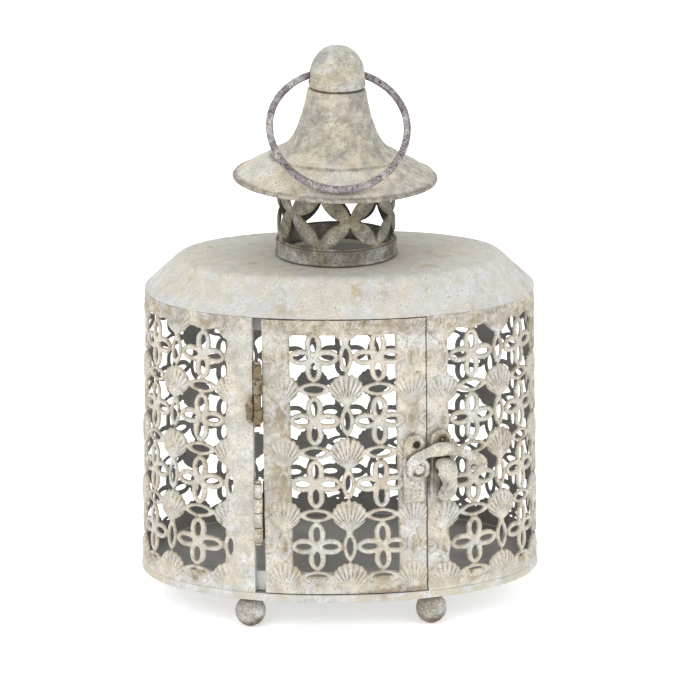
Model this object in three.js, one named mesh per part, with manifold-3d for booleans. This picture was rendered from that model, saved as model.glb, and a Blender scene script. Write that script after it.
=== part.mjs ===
// Candle lantern: an oval sheet-metal house with punched lattice walls, a hinged front door with
// a swinging latch arm, a bell-capped chimney, a loose carrying ring and four ball feet.
// Millimetres, +Z up, front (door) towards -Y. Heights inside the model count from the bottom
// edge of the body; the finished group is set down so that the feet stand at z = 0.

import * as THREE from 'three';
import { mergeGeometries, mergeVertices } from 'three/addons/utils/BufferGeometryUtils.js';
import Module from 'manifold-3d';

const wasm = await Module();
wasm.setup();

// ---------------------------------------------------------------- driving dimensions (mm)

const GAP = 0.3;                    // clearance kept between touching pieces

// Plan: a superellipse, and a slight flare at both ends towards the bottom edge.
const PLAN_EXPONENT = 2.2;
const PLAN_HALF_WIDTH = 82.0;
const PLAN_HALF_DEPTH = 54.3;
const FLARE = 2.7;
const FLARE_FROM = 45;
const FLARE_TO = 80;

// Heights.
const WALL_BOTTOM = 3.6;
const WALL_TOP = 122.1;
const ROOF_RIM_Z = 122.4;
const ROOF_TOP_Z = 136.3;
const COLLAR_TOP_Z = 142.9;
const CAP_TOP_Z = 206.8;
const PIVOT_Z = 212.2;

// Sheets.
const SHEET = 1.3;                  // lattice sheet
const STRIP = 1.3;                  // frame strips behind it
const STRIP_INSET = SHEET + GAP;
const BAND_INSET = STRIP_INSET + STRIP + 0.6;
const BAND = 1.3;

// Roof.
const ROOF_BEVEL = 14.8;            // how far the top plate lies inside the rim
const ROOF_SHEET = 1.4;
const ROOF_HOLE_R = 22.5;

// Lattice.
const ROW_HEIGHT = 27.2;
const DOOR_FIRST_ROW_Z = 24.4;
const WALL_FIRST_ROW_Z = 22.7;      // the walls' pattern sits a little lower than the door's
const ROWS = 4;
const WALL_COLUMNS = 13;
const FIRST_COLUMN_U = 54.3;        // first flower column right of the door
const LAST_COLUMN_U = -61.6;        // last flower column, left of the door

// Door and the opening it closes, measured along the wall from the front centre.
const DOOR_LEFT_U = -34.1;
const DOOR_RIGHT_U = 33.2;
const DOOR_BOTTOM_Z = 3.9;
const DOOR_TOP_Z = 121.8;
const WINDOW_LEFT_U = -22.7;
const WINDOW_RIGHT_U = 21.2;
const WINDOW_BOTTOM_Z = 11.0;
const WINDOW_TOP_Z = 115.4;
const DOOR_COLUMNS_U = [-12.5, 14.1];
const WALL_LEFT_EDGE_U = -38.5;
const WALL_RIGHT_EDGE_U = 33.9;
const JAMB_LEFT_WIDTH = 11.8;
const JAMB_RIGHT_WIDTH = 9.2;

// Hinges.
const HINGE_U = -36.2;
const HINGE_PROUD = 0.9;            // axis stands this far outside the wall
const KNUCKLE_R = 1.7;
const KNUCKLE_BORE_R = 1.05;
const PIN_R = 0.85;
const KNUCKLES = 4;
const KNUCKLE_LENGTH = 6.4;
const KNUCKLE_GAP = 0.35;
const HINGE_BOTTOMS_Z = { hinge_lower: 26.2, hinge_upper: 77.4 };
const LEAF = 0.7;

// Latch.
const LATCH_U = 28.4;
const KEEPER_U = 39.6;
const PIVOT_X = 1.2;                // latch pivot, right of the latch plate's centre line
const PIVOT_HEIGHT = 58.1;

// Chimney and carrying ring.
const CHIMNEY_X = -1.5;              // the chimney stands slightly left of the middle
const GALLERY_R = 24.9;
const GALLERY_SHEET = 1.3;
const GALLERY_NODE_Z = 155.6;
const GALLERY_STEP_Z = 10.3;
const GALLERY_FIRST_ANGLE = 11.5;   // degrees from the front towards +X
const RING_HALF_WIDTH = 28.3;
const RING_UPPER_HEIGHT = 27.2;       // from its widest line up, and down: it is slightly egg-shaped
const RING_LOWER_HEIGHT = 30.8;
const RING_WIRE_R = 1.7;
const RING_CHORD_X = 11.7;          // where the wire crosses the knob's wall
const RING_TILT = 46.3;             // degrees forward from straight down
const RING_HOLE_R = 3.1;

// Feet and floor.
const FOOT_R = 6.4;
const FOOT_Z = -7.1;
const FOOT_FLAT_R = 2.0;            // small worn flat that it stands on
const FEET = {
  foot_front_left: [-39.4, -42.0],
  foot_front_right: [36.4, -42.0],
  foot_rear_left: [-39.4, 42.0],
  foot_rear_right: [36.4, 42.0],
};
const FLOOR_BOTTOM_Z = 1.2;
const FLOOR_TOP_Z = 2.8;

// ---------------------------------------------------------------- materials

const paint = (color, roughness = 0.85, metalness = 0.1) =>
  new THREE.MeshStandardMaterial({ color, roughness, metalness });
const CREAM = paint(0xd9d2c0);
const BEIGE = paint(0xb5ad97);
const OCHRE = paint(0x9c8458, 0.8, 0.2);
const SILVER = paint(0x8b878a, 0.6, 0.6);
const GREY = paint(0x7d7b7a, 0.8, 0.3);
const RUST = paint(0x6e5539, 0.9, 0.2);

// ---------------------------------------------------------------- solids

// A closed, indexed geometry with merged vertices and its faces pointing out.
function closed(geometry) {
  const bare = geometry.clone();
  bare.deleteAttribute('normal');
  bare.deleteAttribute('uv');
  const merged = mergeVertices(bare, 1e-4);
  const index = merged.getIndex().array;
  const p = merged.getAttribute('position');
  const faces = [];
  let volume = 0;
  const [a, b, c] = [0, 0, 0].map(() => new THREE.Vector3());
  for (let i = 0; i < index.length; i += 3) {
    const [i0, i1, i2] = [index[i], index[i + 1], index[i + 2]];
    if (i0 === i1 || i1 === i2 || i2 === i0) continue;
    a.fromBufferAttribute(p, i0);
    b.fromBufferAttribute(p, i1);
    c.fromBufferAttribute(p, i2);
    volume += a.dot(b.cross(c));
    faces.push([i0, i1, i2]);
  }
  const order = volume < 0 ? faces.map(([i, j, k]) => [i, k, j]) : faces;
  merged.setIndex(order.flat());
  return merged;
}

function solid(geometry) {
  const g = closed(geometry);
  return new wasm.Manifold(new wasm.Mesh({
    numProp: 3,
    vertProperties: new Float32Array(g.getAttribute('position').array),
    triVerts: new Uint32Array(g.getIndex().array),
  }));
}

function fromSolid(manifold) {
  const mesh = manifold.getMesh();
  const geometry = new THREE.BufferGeometry();
  geometry.setAttribute('position', new THREE.BufferAttribute(new Float32Array(mesh.vertProperties), 3));
  geometry.setIndex(Array.from(mesh.triVerts));
  return geometry;
}

function node(name, shape, material) {
  const geometry = shape instanceof THREE.BufferGeometry ? closed(shape) : fromSolid(shape);
  geometry.computeVertexNormals();
  const mesh = new THREE.Mesh(geometry, material);
  mesh.name = name;
  return mesh;
}

// A box from its lowest to its highest corner.
function boxBetween(low, high, segments = 1) {
  const size = high.map((v, i) => v - low[i]);
  const box = new THREE.BoxGeometry(...size, segments, 1, 1);
  return box.translate(...low.map((v, i) => v + size[i] / 2));
}

function cylinderAlongZ(radius, z0, z1, sides = 20) {
  return new THREE.CylinderGeometry(radius, radius, z1 - z0, sides)
    .rotateX(Math.PI / 2).translate(0, 0, (z0 + z1) / 2);
}

// A solid of revolution about Z from [radius, height] points.
function turned(profile, segments = 32) {
  const points = profile.map(([r, z]) => new THREE.Vector2(r, z));
  return new THREE.LatheGeometry(points, segments).rotateX(Math.PI / 2);
}

// ---------------------------------------------------------------- the plan curve

const PLAN_SAMPLES = 4000;

// Point and outward normal of the plan at parameter t: 0 at the front, pi at the back.
function planAt(t) {
  const power = 2 / PLAN_EXPONENT;
  const x = PLAN_HALF_WIDTH * Math.abs(Math.sin(t)) ** power;
  const y = -PLAN_HALF_DEPTH * Math.sign(Math.cos(t)) * Math.abs(Math.cos(t)) ** power;
  const nx = (x / PLAN_HALF_WIDTH) ** (PLAN_EXPONENT - 1) / PLAN_HALF_WIDTH;
  const ny = Math.sign(y) * Math.abs(y / PLAN_HALF_DEPTH) ** (PLAN_EXPONENT - 1) / PLAN_HALF_DEPTH;
  const length = Math.hypot(nx, ny);
  return { x, y, nx: nx / length, ny: ny / length };
}

const arcLengths = [0];
for (let i = 1; i <= PLAN_SAMPLES; i++) {
  const p = planAt(Math.PI * (i - 1) / PLAN_SAMPLES);
  const q = planAt(Math.PI * i / PLAN_SAMPLES);
  arcLengths.push(arcLengths[i - 1] + Math.hypot(q.x - p.x, q.y - p.y));
}
const HALF_PERIMETER = arcLengths[PLAN_SAMPLES];
const PERIMETER = 2 * HALF_PERIMETER;

function parameterAt(length) {
  let low = 0;
  let high = PLAN_SAMPLES;
  while (high - low > 1) {
    const middle = (low + high) >> 1;
    if (arcLengths[middle] <= length) low = middle; else high = middle;
  }
  const part = (length - arcLengths[low]) / (arcLengths[high] - arcLengths[low]);
  return Math.PI * (low + part) / PLAN_SAMPLES;
}

// The wall at arc length u from the front centre (positive towards +X), moved inwards by inset.
function wallPoint(u, inset, z) {
  const round = u - PERIMETER * Math.round(u / PERIMETER);
  const side = round < 0 ? -1 : 1;
  const p = planAt(parameterAt(Math.min(Math.abs(round), HALF_PERIMETER)));
  const flare = FLARE * THREE.MathUtils.clamp(1 - z / WALL_TOP, 0, 1);
  const spread = flare * THREE.MathUtils.smoothstep(p.x, FLARE_FROM, FLARE_TO);
  return [side * (p.x - p.nx * inset + spread), p.y - p.ny * inset, z];
}

// Moves every vertex by a function of its coordinates.
function remap(geometry, place) {
  const p = geometry.getAttribute('position');
  for (let i = 0; i < p.count; i++) p.setXYZ(i, ...place(p.getX(i), p.getY(i), p.getZ(i)));
  return geometry;
}

// A plain strip wrapped on the wall, from arc length u0 to u1, z0 to z1 and inset i0 to i1.
function wallStrip([u0, u1], [z0, z1], [i0, i1]) {
  const steps = Math.max(1, Math.ceil((u1 - u0) / 7));
  return remap(boxBetween([u0, i0, z0], [u1, i1, z1], steps), wallPoint);
}

// A full loop round the plan from a profile of [inset, height]; axis points close it in.
const LOOP_SEGMENTS = 56;
const AXIS = 'axis';
function wallLoop(profile, segments = LOOP_SEGMENTS) {
  const reference = 100;
  const points = profile.map(([inset, z]) => new THREE.Vector2(inset === AXIS ? 0 : reference - inset, z));
  const lathe = new THREE.LatheGeometry(points, segments);
  return remap(lathe, (x, y, z) => {
    const radius = Math.hypot(x, z);
    if (radius < 1e-3) return [0, 0, y];
    const step = Math.round(Math.atan2(x, z) * segments / (2 * Math.PI));
    return wallPoint(step * PERIMETER / segments, reference - radius, y);
  });
}

// A frame that stands on the wall: X along it, Y inwards, Z up.
function wallFrame(u) {
  const [x0, y0] = wallPoint(u, 0, WALL_TOP);
  const [x1, y1] = wallPoint(u, 1, WALL_TOP);
  const inwards = new THREE.Vector3(x1 - x0, y1 - y0, 0).normalize();
  const up = new THREE.Vector3(0, 0, 1);
  const along = new THREE.Vector3().crossVectors(inwards, up);
  return new THREE.Matrix4().makeBasis(along, inwards, up).setPosition(x0, y0, 0);
}

// ---------------------------------------------------------------- lattice sheets

// Right-hand openings of one cell, from the flower's centre; the left ones mirror them.
const UPPER_OPENING = [[3.2, 3.8], [3.0, 11.0], [8.0, 9.8], [11.2, 4.2]];
const LOWER_OPENING = [[3.2, -3.8], [11.0, -3.6], [9.6, -9.0], [3.4, -11.4]];
const PLAIN_STEP = 9;               // widest unpierced piece, so that it follows the bend

// The openings on one side of a flower column, from the bottom row to the top one.
function columnOpenings(u, side, firstRow) {
  const openings = [];
  for (let row = 0; row < ROWS; row++) {
    const z = firstRow + row * ROW_HEIGHT;
    for (const outline of [UPPER_OPENING, LOWER_OPENING]) {
      openings.push(new THREE.Path(outline.map(([x, y]) => new THREE.Vector2(u + side * x, z + y))));
    }
  }
  return openings;
}

// One flat upright piece of the unrolled sheet.
function flatPiece([u0, u1], [z0, z1], openings = []) {
  const shape = new THREE.Shape([[u0, z0], [u1, z0], [u1, z1], [u0, z1]].map((p) => new THREE.Vector2(...p)));
  shape.holes = openings;
  return new THREE.ShapeGeometry(shape);
}

// Joins flat pieces that share whole edges, gives them thickness and bends them onto the wall.
function thickened(pieces) {
  const flat = mergeGeometries(pieces);
  flat.deleteAttribute('normal');
  flat.deleteAttribute('uv');
  const face = mergeVertices(flat, 1e-4);
  const p = face.getAttribute('position');
  const index = Array.from(face.getIndex().array);
  const corners = [];
  for (const inset of [0, SHEET]) {
    for (let i = 0; i < p.count; i++) corners.push(...wallPoint(p.getX(i), inset, p.getY(i)));
  }
  const back = p.count;
  const sides = new Map();
  const triangles = [];
  for (let i = 0; i < index.length; i += 3) {
    const [a, b, c] = index.slice(i, i + 3);
    triangles.push(a, b, c, a + back, c + back, b + back);
    for (const [from, to] of [[a, b], [b, c], [c, a]]) {
      if (!sides.delete(`${to} ${from}`)) sides.set(`${from} ${to}`, [from, to]);
    }
  }
  for (const [from, to] of sides.values()) {
    triangles.push(to, from, from + back, to, from + back, to + back);
  }
  const sheet = new THREE.BufferGeometry();
  sheet.setAttribute('position', new THREE.Float32BufferAttribute(corners, 3));
  sheet.setIndex(triangles);
  return sheet;
}

// A sheet wrapped on the wall: two pierced pieces for each flower column, and plain edges. Each
// piece starts exactly where the last one ended, so that they join.
function latticeSheet({ left, right, heights, columns, pitch, firstRow }) {
  const pieces = [];
  let reached = left;
  const extend = (to, openings) => {
    if (to - reached < 1e-6) return;
    pieces.push(flatPiece([reached, to], heights, openings));
    reached = to;
  };
  const plain = (to) => {
    const [from, count] = [reached, Math.ceil((to - reached) / PLAIN_STEP)];
    for (let i = 1; i <= count; i++) extend(from + (to - from) * i / count);
  };
  for (const u of columns) {
    plain(Math.max(left, u - pitch / 2));
    extend(u, columnOpenings(u, -1, firstRow));
    extend(Math.min(right, u + pitch / 2), columnOpenings(u, 1, firstRow));
  }
  plain(right);
  return thickened(pieces);
}

const COLUMN_PITCH = (PERIMETER + LAST_COLUMN_U - FIRST_COLUMN_U) / (WALL_COLUMNS - 1);

// Wall columns first..last, between their outer edges.
function wallPanel(first, last, left, right) {
  const columns = [];
  for (let i = first; i <= last; i++) columns.push(FIRST_COLUMN_U + i * COLUMN_PITCH);
  return latticeSheet({
    left, right, heights: [WALL_BOTTOM, WALL_TOP], columns, pitch: COLUMN_PITCH, firstRow: WALL_FIRST_ROW_Z,
  });
}

function walls() {
  const seam = (column) => FIRST_COLUMN_U + (column - 0.5) * COLUMN_PITCH;
  const leftEdge = PERIMETER + WALL_LEFT_EDGE_U;
  return [
    node('wall_right', wallPanel(0, 3, WALL_RIGHT_EDGE_U, seam(4) - GAP / 2), CREAM),
    node('wall_back', wallPanel(4, 8, seam(4) + GAP / 2, seam(9) - GAP / 2), CREAM),
    node('wall_left', wallPanel(9, 12, seam(9) + GAP / 2, leftEdge), CREAM),
  ];
}

// ---------------------------------------------------------------- frame, base and floor

function innerFrame() {
  const strip = [STRIP_INSET, STRIP_INSET + STRIP];
  const band = [BAND_INSET, BAND_INSET + BAND];
  const jambZ = [WALL_BOTTOM, WALL_TOP];
  const jambLeft = [WALL_LEFT_EDGE_U - JAMB_LEFT_WIDTH, WALL_LEFT_EDGE_U];
  const jambRight = [WALL_RIGHT_EDGE_U, WALL_RIGHT_EDGE_U + JAMB_RIGHT_WIDTH];
  const [inner, outer] = [band[1], band[0]];
  return [
    node('jamb_left', wallStrip(jambLeft, jambZ, strip), CREAM),
    node('jamb_right', wallStrip(jambRight, jambZ, strip), CREAM),
    node('sill_band', wallStrip([jambLeft[0], jambRight[1]], [WALL_BOTTOM, 12], band), CREAM),
    node('header_band', wallLoop([[inner, 116.2], [outer, 116.2], [outer, WALL_TOP], [inner, WALL_TOP],
      [inner, 116.2]]), CREAM),
  ];
}

function base() {
  const top = WALL_BOTTOM - GAP;
  const rim = [[1.4, 0], [-0.2, 0], [-0.7, 0.8], [0, 1.8], [0, top], [1.4, top], [1.4, 0]];
  const floor = [[AXIS, FLOOR_BOTTOM_Z], [1.8, FLOOR_BOTTOM_Z], [1.8, FLOOR_TOP_Z], [AXIS, FLOOR_TOP_Z]];
  return [
    node('base_rim', wallLoop(rim), CREAM),
    node('floor_tray', wallLoop(floor), GREY),
  ];
}

// A turned ball with a short neck up to the floor and a small flat underneath.
function foot() {
  const lowest = FOOT_Z - FOOT_R;
  const profile = [[0, lowest], [FOOT_FLAT_R, lowest]];
  const steps = 6;
  const start = Math.asin(FOOT_FLAT_R / FOOT_R) + 0.12;
  const end = Math.PI - 0.42;
  for (let i = 0; i <= steps; i++) {
    const a = start + (end - start) * i / steps;
    profile.push([FOOT_R * Math.sin(a), FOOT_Z - FOOT_R * Math.cos(a)]);
  }
  const neckTop = FLOOR_BOTTOM_Z - GAP;
  profile.push([2.6, neckTop], [0, neckTop]);
  return turned(profile, 16);
}

function feet() {
  return Object.entries(FEET).map(([name, [x, y]]) => {
    const mesh = node(name, foot(), GREY);
    mesh.position.set(x, y, 0);
    return mesh;
  });
}

// ---------------------------------------------------------------- roof and chimney

function roof() {
  const outer = solid(wallLoop([[AXIS, ROOF_RIM_Z], [0, ROOF_RIM_Z], [ROOF_BEVEL, ROOF_TOP_Z], [AXIS, ROOF_TOP_Z]]));
  const under = ROOF_TOP_Z - ROOF_SHEET;
  const inner = solid(wallLoop([[AXIS, ROOF_RIM_Z - 1], [ROOF_SHEET + 0.6, ROOF_RIM_Z - 1],
    [ROOF_SHEET + 0.6, ROOF_RIM_Z], [ROOF_BEVEL + 0.6, under], [AXIS, under]]));
  const hole = solid(cylinderAlongZ(ROOF_HOLE_R, ROOF_RIM_Z, ROOF_TOP_Z + 1, 40).translate(CHIMNEY_X, 0, 0));
  return node('roof_shell', outer.subtract(inner).subtract(hole), CREAM);
}

function collar() {
  const z = ROOF_TOP_Z + GAP;
  return node('chimney_collar', turned([[23.9, z], [25.8, z], [25.8, z + 1.2], [25.3, z + 1.7],
    [25.0, COLLAR_TOP_Z], [23.9, COLLAR_TOP_Z], [23.9, z]]), OCHRE);
}

// A radial cutter for one gap between leaves, centred at an angle and a height.
function gallerySlot(outline, degrees, z) {
  const shape = new THREE.Shape(outline.map(([x, y]) => new THREE.Vector2(x, y)));
  const slot = new THREE.ExtrudeGeometry(shape, { depth: 8, bevelEnabled: false });
  slot.rotateX(Math.PI / 2).translate(0, -GALLERY_R + 4, z);
  return solid(slot.rotateZ(THREE.MathUtils.degToRad(degrees)));
}

function gallery() {
  const bottom = COLLAR_TOP_Z + GAP;
  const top = 177.4;
  const inner = GALLERY_R - GALLERY_SHEET;
  let band = solid(turned([[inner, bottom], [GALLERY_R, bottom], [GALLERY_R, top], [inner, top], [inner, bottom]]));
  const [w, h] = [8.6, 6.4];
  const diamond = [[w, 0], [0, h], [-w, 0], [0, -h]];
  const below = [[w * 0.75, 0], [0, h], [-w * 0.75, 0]];
  const above = [[w * 0.75, 0], [-w * 0.75, 0], [0, -h]];
  for (let k = 0; k < 6; k++) {
    const angle = GALLERY_FIRST_ANGLE + 60 * k;
    band = band.subtract(gallerySlot(diamond, angle + 30, GALLERY_NODE_Z));
    band = band.subtract(gallerySlot(below, angle, GALLERY_NODE_Z - GALLERY_STEP_Z + 0.8));
    band = band.subtract(gallerySlot(above, angle, GALLERY_NODE_Z + GALLERY_STEP_Z - 0.4));
  }
  return node('chimney_gallery', band, OCHRE);
}

function cap() {
  const outside = [[12.2, CAP_TOP_Z], [13.4, 200.8], [15.7, 192.2], [19.2, 184.8],
    [24.2, 180.3], [27, 178.8], [36, 173.8], [42.9, 169.4]];
  const inside = [[42.6, 168], [30, 175.6], [24, 178.9], [18, 184.4], [14.4, 191.5], [11.1, 205.5]];
  return node('chimney_cap', turned([[0, CAP_TOP_Z], ...outside, ...inside, [0, 205.5]]), BEIGE);
}

function knob() {
  const outside = [[11.5, CAP_TOP_Z + GAP], [12.1, 209], [11.95, 212], [11.3, 215.2],
    [9.6, 219.3], [6.8, 222.7], [3.4, 224.5], [0, 224.9]];
  const inside = [[0, 223.7], [3.2, 223.2], [6, 221.7], [8.5, 218.6], [10.3, 214],
    [10.9, 210], [10.4, CAP_TOP_Z + GAP]];
  const shell = solid(turned([...inside, ...outside], 28));
  const bore = cylinderAlongZ(RING_HOLE_R, -15, 15, 14).rotateY(Math.PI / 2).translate(0, 0, PIVOT_Z);
  return node('dome_knob', shell.subtract(solid(bore)), BEIGE);
}

// An oval wire ring hanging from the chord that crosses the knob, tilted forward onto the brim.
function carryRing() {
  const drop = RING_UPPER_HEIGHT * Math.sqrt(1 - (RING_CHORD_X / RING_HALF_WIDTH) ** 2);
  const torus = new THREE.TorusGeometry(RING_HALF_WIDTH, RING_WIRE_R, 8, 48);
  remap(torus, (x, y, z) => {
    const a = Math.atan2(y, x);
    const off = Math.hypot(x, y) - RING_HALF_WIDTH;
    const height = Math.sin(a) > 0 ? RING_UPPER_HEIGHT : RING_LOWER_HEIGHT;
    return [(RING_HALF_WIDTH + off) * Math.cos(a), z, (height + off) * Math.sin(a) - drop];
  });
  const mesh = node('carry_ring', torus, SILVER);
  mesh.position.set(0, 0, PIVOT_Z);
  mesh.rotation.x = -THREE.MathUtils.degToRad(RING_TILT);
  return mesh;
}

// ---------------------------------------------------------------- door

function door() {
  const lattice = latticeSheet({
    left: DOOR_LEFT_U, right: DOOR_RIGHT_U, heights: [DOOR_BOTTOM_Z, DOOR_TOP_Z],
    columns: DOOR_COLUMNS_U, pitch: DOOR_COLUMNS_U[1] - DOOR_COLUMNS_U[0], firstRow: DOOR_FIRST_ROW_Z,
  });
  const depth = [STRIP_INSET, STRIP_INSET + STRIP];
  const full = [DOOR_BOTTOM_Z, DOOR_TOP_Z];
  const railSpan = [WINDOW_LEFT_U + GAP, WINDOW_RIGHT_U - GAP];
  return [
    node('door_lattice', lattice, CREAM),
    node('door_stile_left', wallStrip([DOOR_LEFT_U, WINDOW_LEFT_U], full, depth), CREAM),
    node('door_stile_right', wallStrip([WINDOW_RIGHT_U, DOOR_RIGHT_U], full, depth), CREAM),
    node('door_rail_bottom', wallStrip(railSpan, [DOOR_BOTTOM_Z, WINDOW_BOTTOM_Z], depth), CREAM),
    node('door_rail_top', wallStrip(railSpan, [WINDOW_TOP_Z, DOOR_TOP_Z], depth), CREAM),
  ];
}

// One hinge leaf in the hinge's own frame: flange behind the frame strip, web through the gap,
// and every second knuckle. side is -1 for the wall's leaf and 1 for the door's.
function hingeLeaf(side, firstKnuckle) {
  const length = KNUCKLES * KNUCKLE_LENGTH;
  const flangeY = STRIP_INSET + STRIP + 0.6;
  const mirrored = (x0, x1) => [Math.min(side * x0, side * x1), Math.max(side * x0, side * x1)];
  const [f0, f1] = mirrored(0.8, 8.5);
  let leaf = solid(boxBetween([f0, flangeY, 0], [f1, flangeY + LEAF, length]));
  const [w0, w1] = mirrored(0.8, 1.5);
  for (let k = firstKnuckle; k < KNUCKLES; k += 2) {
    const z0 = k * KNUCKLE_LENGTH + KNUCKLE_GAP / 2;
    const z1 = (k + 1) * KNUCKLE_LENGTH - KNUCKLE_GAP / 2;
    const barrel = cylinderAlongZ(KNUCKLE_R, z0, z1, 12).translate(0, -HINGE_PROUD, 0);
    leaf = leaf.add(solid(boxBetween([w0, -HINGE_PROUD, z0], [w1, flangeY + LEAF, z1])));
    leaf = leaf.add(solid(barrel));
  }
  const bore = cylinderAlongZ(KNUCKLE_BORE_R, -1, length + 1, 12).translate(0, -HINGE_PROUD, 0);
  return leaf.subtract(solid(bore));
}

function hingePin() {
  const length = KNUCKLES * KNUCKLE_LENGTH;
  const head = 1.35;
  return turned([[0, -1.1], [head, -1.1], [head, -0.2], [PIN_R, -0.2], [PIN_R, length + 0.2],
    [head, length + 0.2], [head, length + 1.1], [0, length + 1.1]], 12).translate(0, -HINGE_PROUD, 0);
}

function hinges() {
  return Object.entries(HINGE_BOTTOMS_Z).flatMap(([name, z]) => {
    const place = wallFrame(HINGE_U).multiply(new THREE.Matrix4().makeTranslation(0, 0, z));
    const parts = [
      node(`${name}_wall_leaf`, hingeLeaf(-1, 1), RUST),
      node(`${name}_door_leaf`, hingeLeaf(1, 0), RUST),
      node(`${name}_pin`, hingePin(), RUST),
    ];
    parts.forEach((part) => part.applyMatrix4(place));
    return parts;
  });
}

// ---------------------------------------------------------------- latch

// Flat outlines are drawn in X and Z and thickened outwards from one depth to another.
function plateFrom(shape, from, to) {
  const plate = new THREE.ExtrudeGeometry(shape, { depth: to - from, bevelEnabled: false, curveSegments: 8 });
  return plate.rotateX(Math.PI / 2).translate(0, -from, 0);
}

// An upright plate with a half-round top, from z0 to z1.
function roundTopped(halfWidth, z0, z1) {
  const shape = new THREE.Shape();
  shape.moveTo(-halfWidth, z0);
  shape.lineTo(halfWidth, z0);
  shape.lineTo(halfWidth, z1 - halfWidth);
  shape.absarc(0, z1 - halfWidth, halfWidth, 0, Math.PI, false);
  return shape;
}

function roundPlug(radius, x, z, from, to, sides = 16) {
  return new THREE.CylinderGeometry(radius, radius, to - from, sides).translate(x, -(from + to) / 2, z);
}

// A ribbon of varying half-width along a smooth curve through its points.
function ribbon(points) {
  const curve = new THREE.SplineCurve(points.map(([x, z]) => new THREE.Vector2(x, z)));
  const widths = new THREE.SplineCurve(points.map(([, , w], i) => new THREE.Vector2(i, w)));
  const steps = 22;
  const [left, right] = [[], []];
  for (let i = 0; i <= steps; i++) {
    const p = curve.getPoint(i / steps);
    const t = curve.getTangent(i / steps);
    const w = widths.getPoint(i / steps).y;
    left.push(new THREE.Vector2(p.x - t.y * w, p.y + t.x * w));
    right.unshift(new THREE.Vector2(p.x + t.y * w, p.y - t.x * w));
  }
  return new THREE.Shape([...left, ...right]);
}

const PLATE_FRONT = 1.35;           // front faces, measured outwards from the wall
const ARM_BACK = 1.7;
const ARM_FRONT = 3.5;

function latch() {
  const plate = solid(plateFrom(roundTopped(4.7, 43, 72.4), 0.35, PLATE_FRONT))
    .subtract(solid(roundPlug(1.6, PIVOT_X, PIVOT_HEIGHT, 0, 2)))
    .subtract(solid(roundPlug(0.9, 0.9, 67.8, 0, 2, 10)));
  const sweep = [[-0.2, 60, 2.6], [1.6, 63.2, 2.3], [5.2, 65.6, 2.2], [9, 67.3, 2.3], [13, 67.6, 2.4],
    [17.4, 66, 2.2], [21.6, 63.8, 2.1], [25, 61.4, 2.2], [26.4, 58.8, 1.7]];
  const arm = solid(plateFrom(ribbon(sweep), ARM_BACK, ARM_FRONT))
    .add(solid(roundPlug(4.3, PIVOT_X, PIVOT_HEIGHT, ARM_BACK, ARM_FRONT, 24)))
    .subtract(solid(roundPlug(1.6, PIVOT_X, PIVOT_HEIGHT, 0, 5)));
  const rivet = solid(roundPlug(1.3, PIVOT_X, PIVOT_HEIGHT, 0.3, 4))
    .add(solid(roundPlug(2.4, PIVOT_X, PIVOT_HEIGHT, ARM_FRONT + GAP, ARM_FRONT + 1.2)));
  const parts = [node('latch_plate', plate, BEIGE), node('latch_arm', arm, BEIGE),
    node('latch_pivot_rivet', rivet, RUST)];
  parts.forEach((part) => part.applyMatrix4(wallFrame(LATCH_U)));
  return parts;
}

// The keeper is one casting: a round-topped plate with a curled hook standing out of it.
function keeper() {
  const plate = solid(plateFrom(roundTopped(4.7, 44.2, 73.8), 0.5, 1.3));
  const curl = new THREE.CatmullRomCurve3([[0.2, -0.8, 46.6], [2, -3, 46.8], [3.2, -4.2, 50],
    [3.4, -4.4, 54.5], [2.4, -3.4, 58.6], [0.4, -0.9, 60]].map((p) => new THREE.Vector3(...p)));
  const section = new THREE.Shape();
  section.absarc(0, 0, 2.4, 0, 2 * Math.PI, false);
  const hook = new THREE.ExtrudeGeometry(section, { steps: 12, extrudePath: curl, curveSegments: 4 });
  const behind = boxBetween([-6, -0.5, 40], [6, 6, 80]);
  const casting = plate.add(solid(hook)).subtract(solid(behind))
    .subtract(solid(roundPlug(1.5, 0.6, 69.2, 0, 4, 12)));
  const rivet = solid(roundPlug(1.2, 0.6, 69.2, 0.4, 1.7, 12));
  const parts = [node('keeper', casting, BEIGE), node('keeper_rivet', rivet, RUST)];
  parts.forEach((part) => part.applyMatrix4(wallFrame(KEEPER_U)));
  return parts;
}

// ---------------------------------------------------------------- assembly

const lantern = new THREE.Group();
const chimney = [collar(), gallery(), cap(), knob(), carryRing()];
chimney.forEach((part) => { part.position.x = CHIMNEY_X; });
lantern.add(roof(), ...chimney);
lantern.add(...walls(), ...innerFrame(), ...base(), ...feet());
lantern.add(...door(), ...hinges(), ...latch(), ...keeper());

// The origin lies at the middle of the footprint, on the surface that the feet stand on.
const extent = new THREE.Box3().setFromObject(lantern, true);
const middle = extent.getCenter(new THREE.Vector3());
lantern.position.set(-middle.x, -middle.y, -extent.min.z);

export default lantern;
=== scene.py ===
"""Oval candle lantern: punched and embossed lattice walls, a latched door, a bell-capped chimney."""
import math

import bmesh
import bpy
import numpy as np
from mathutils import Matrix, Vector


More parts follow.
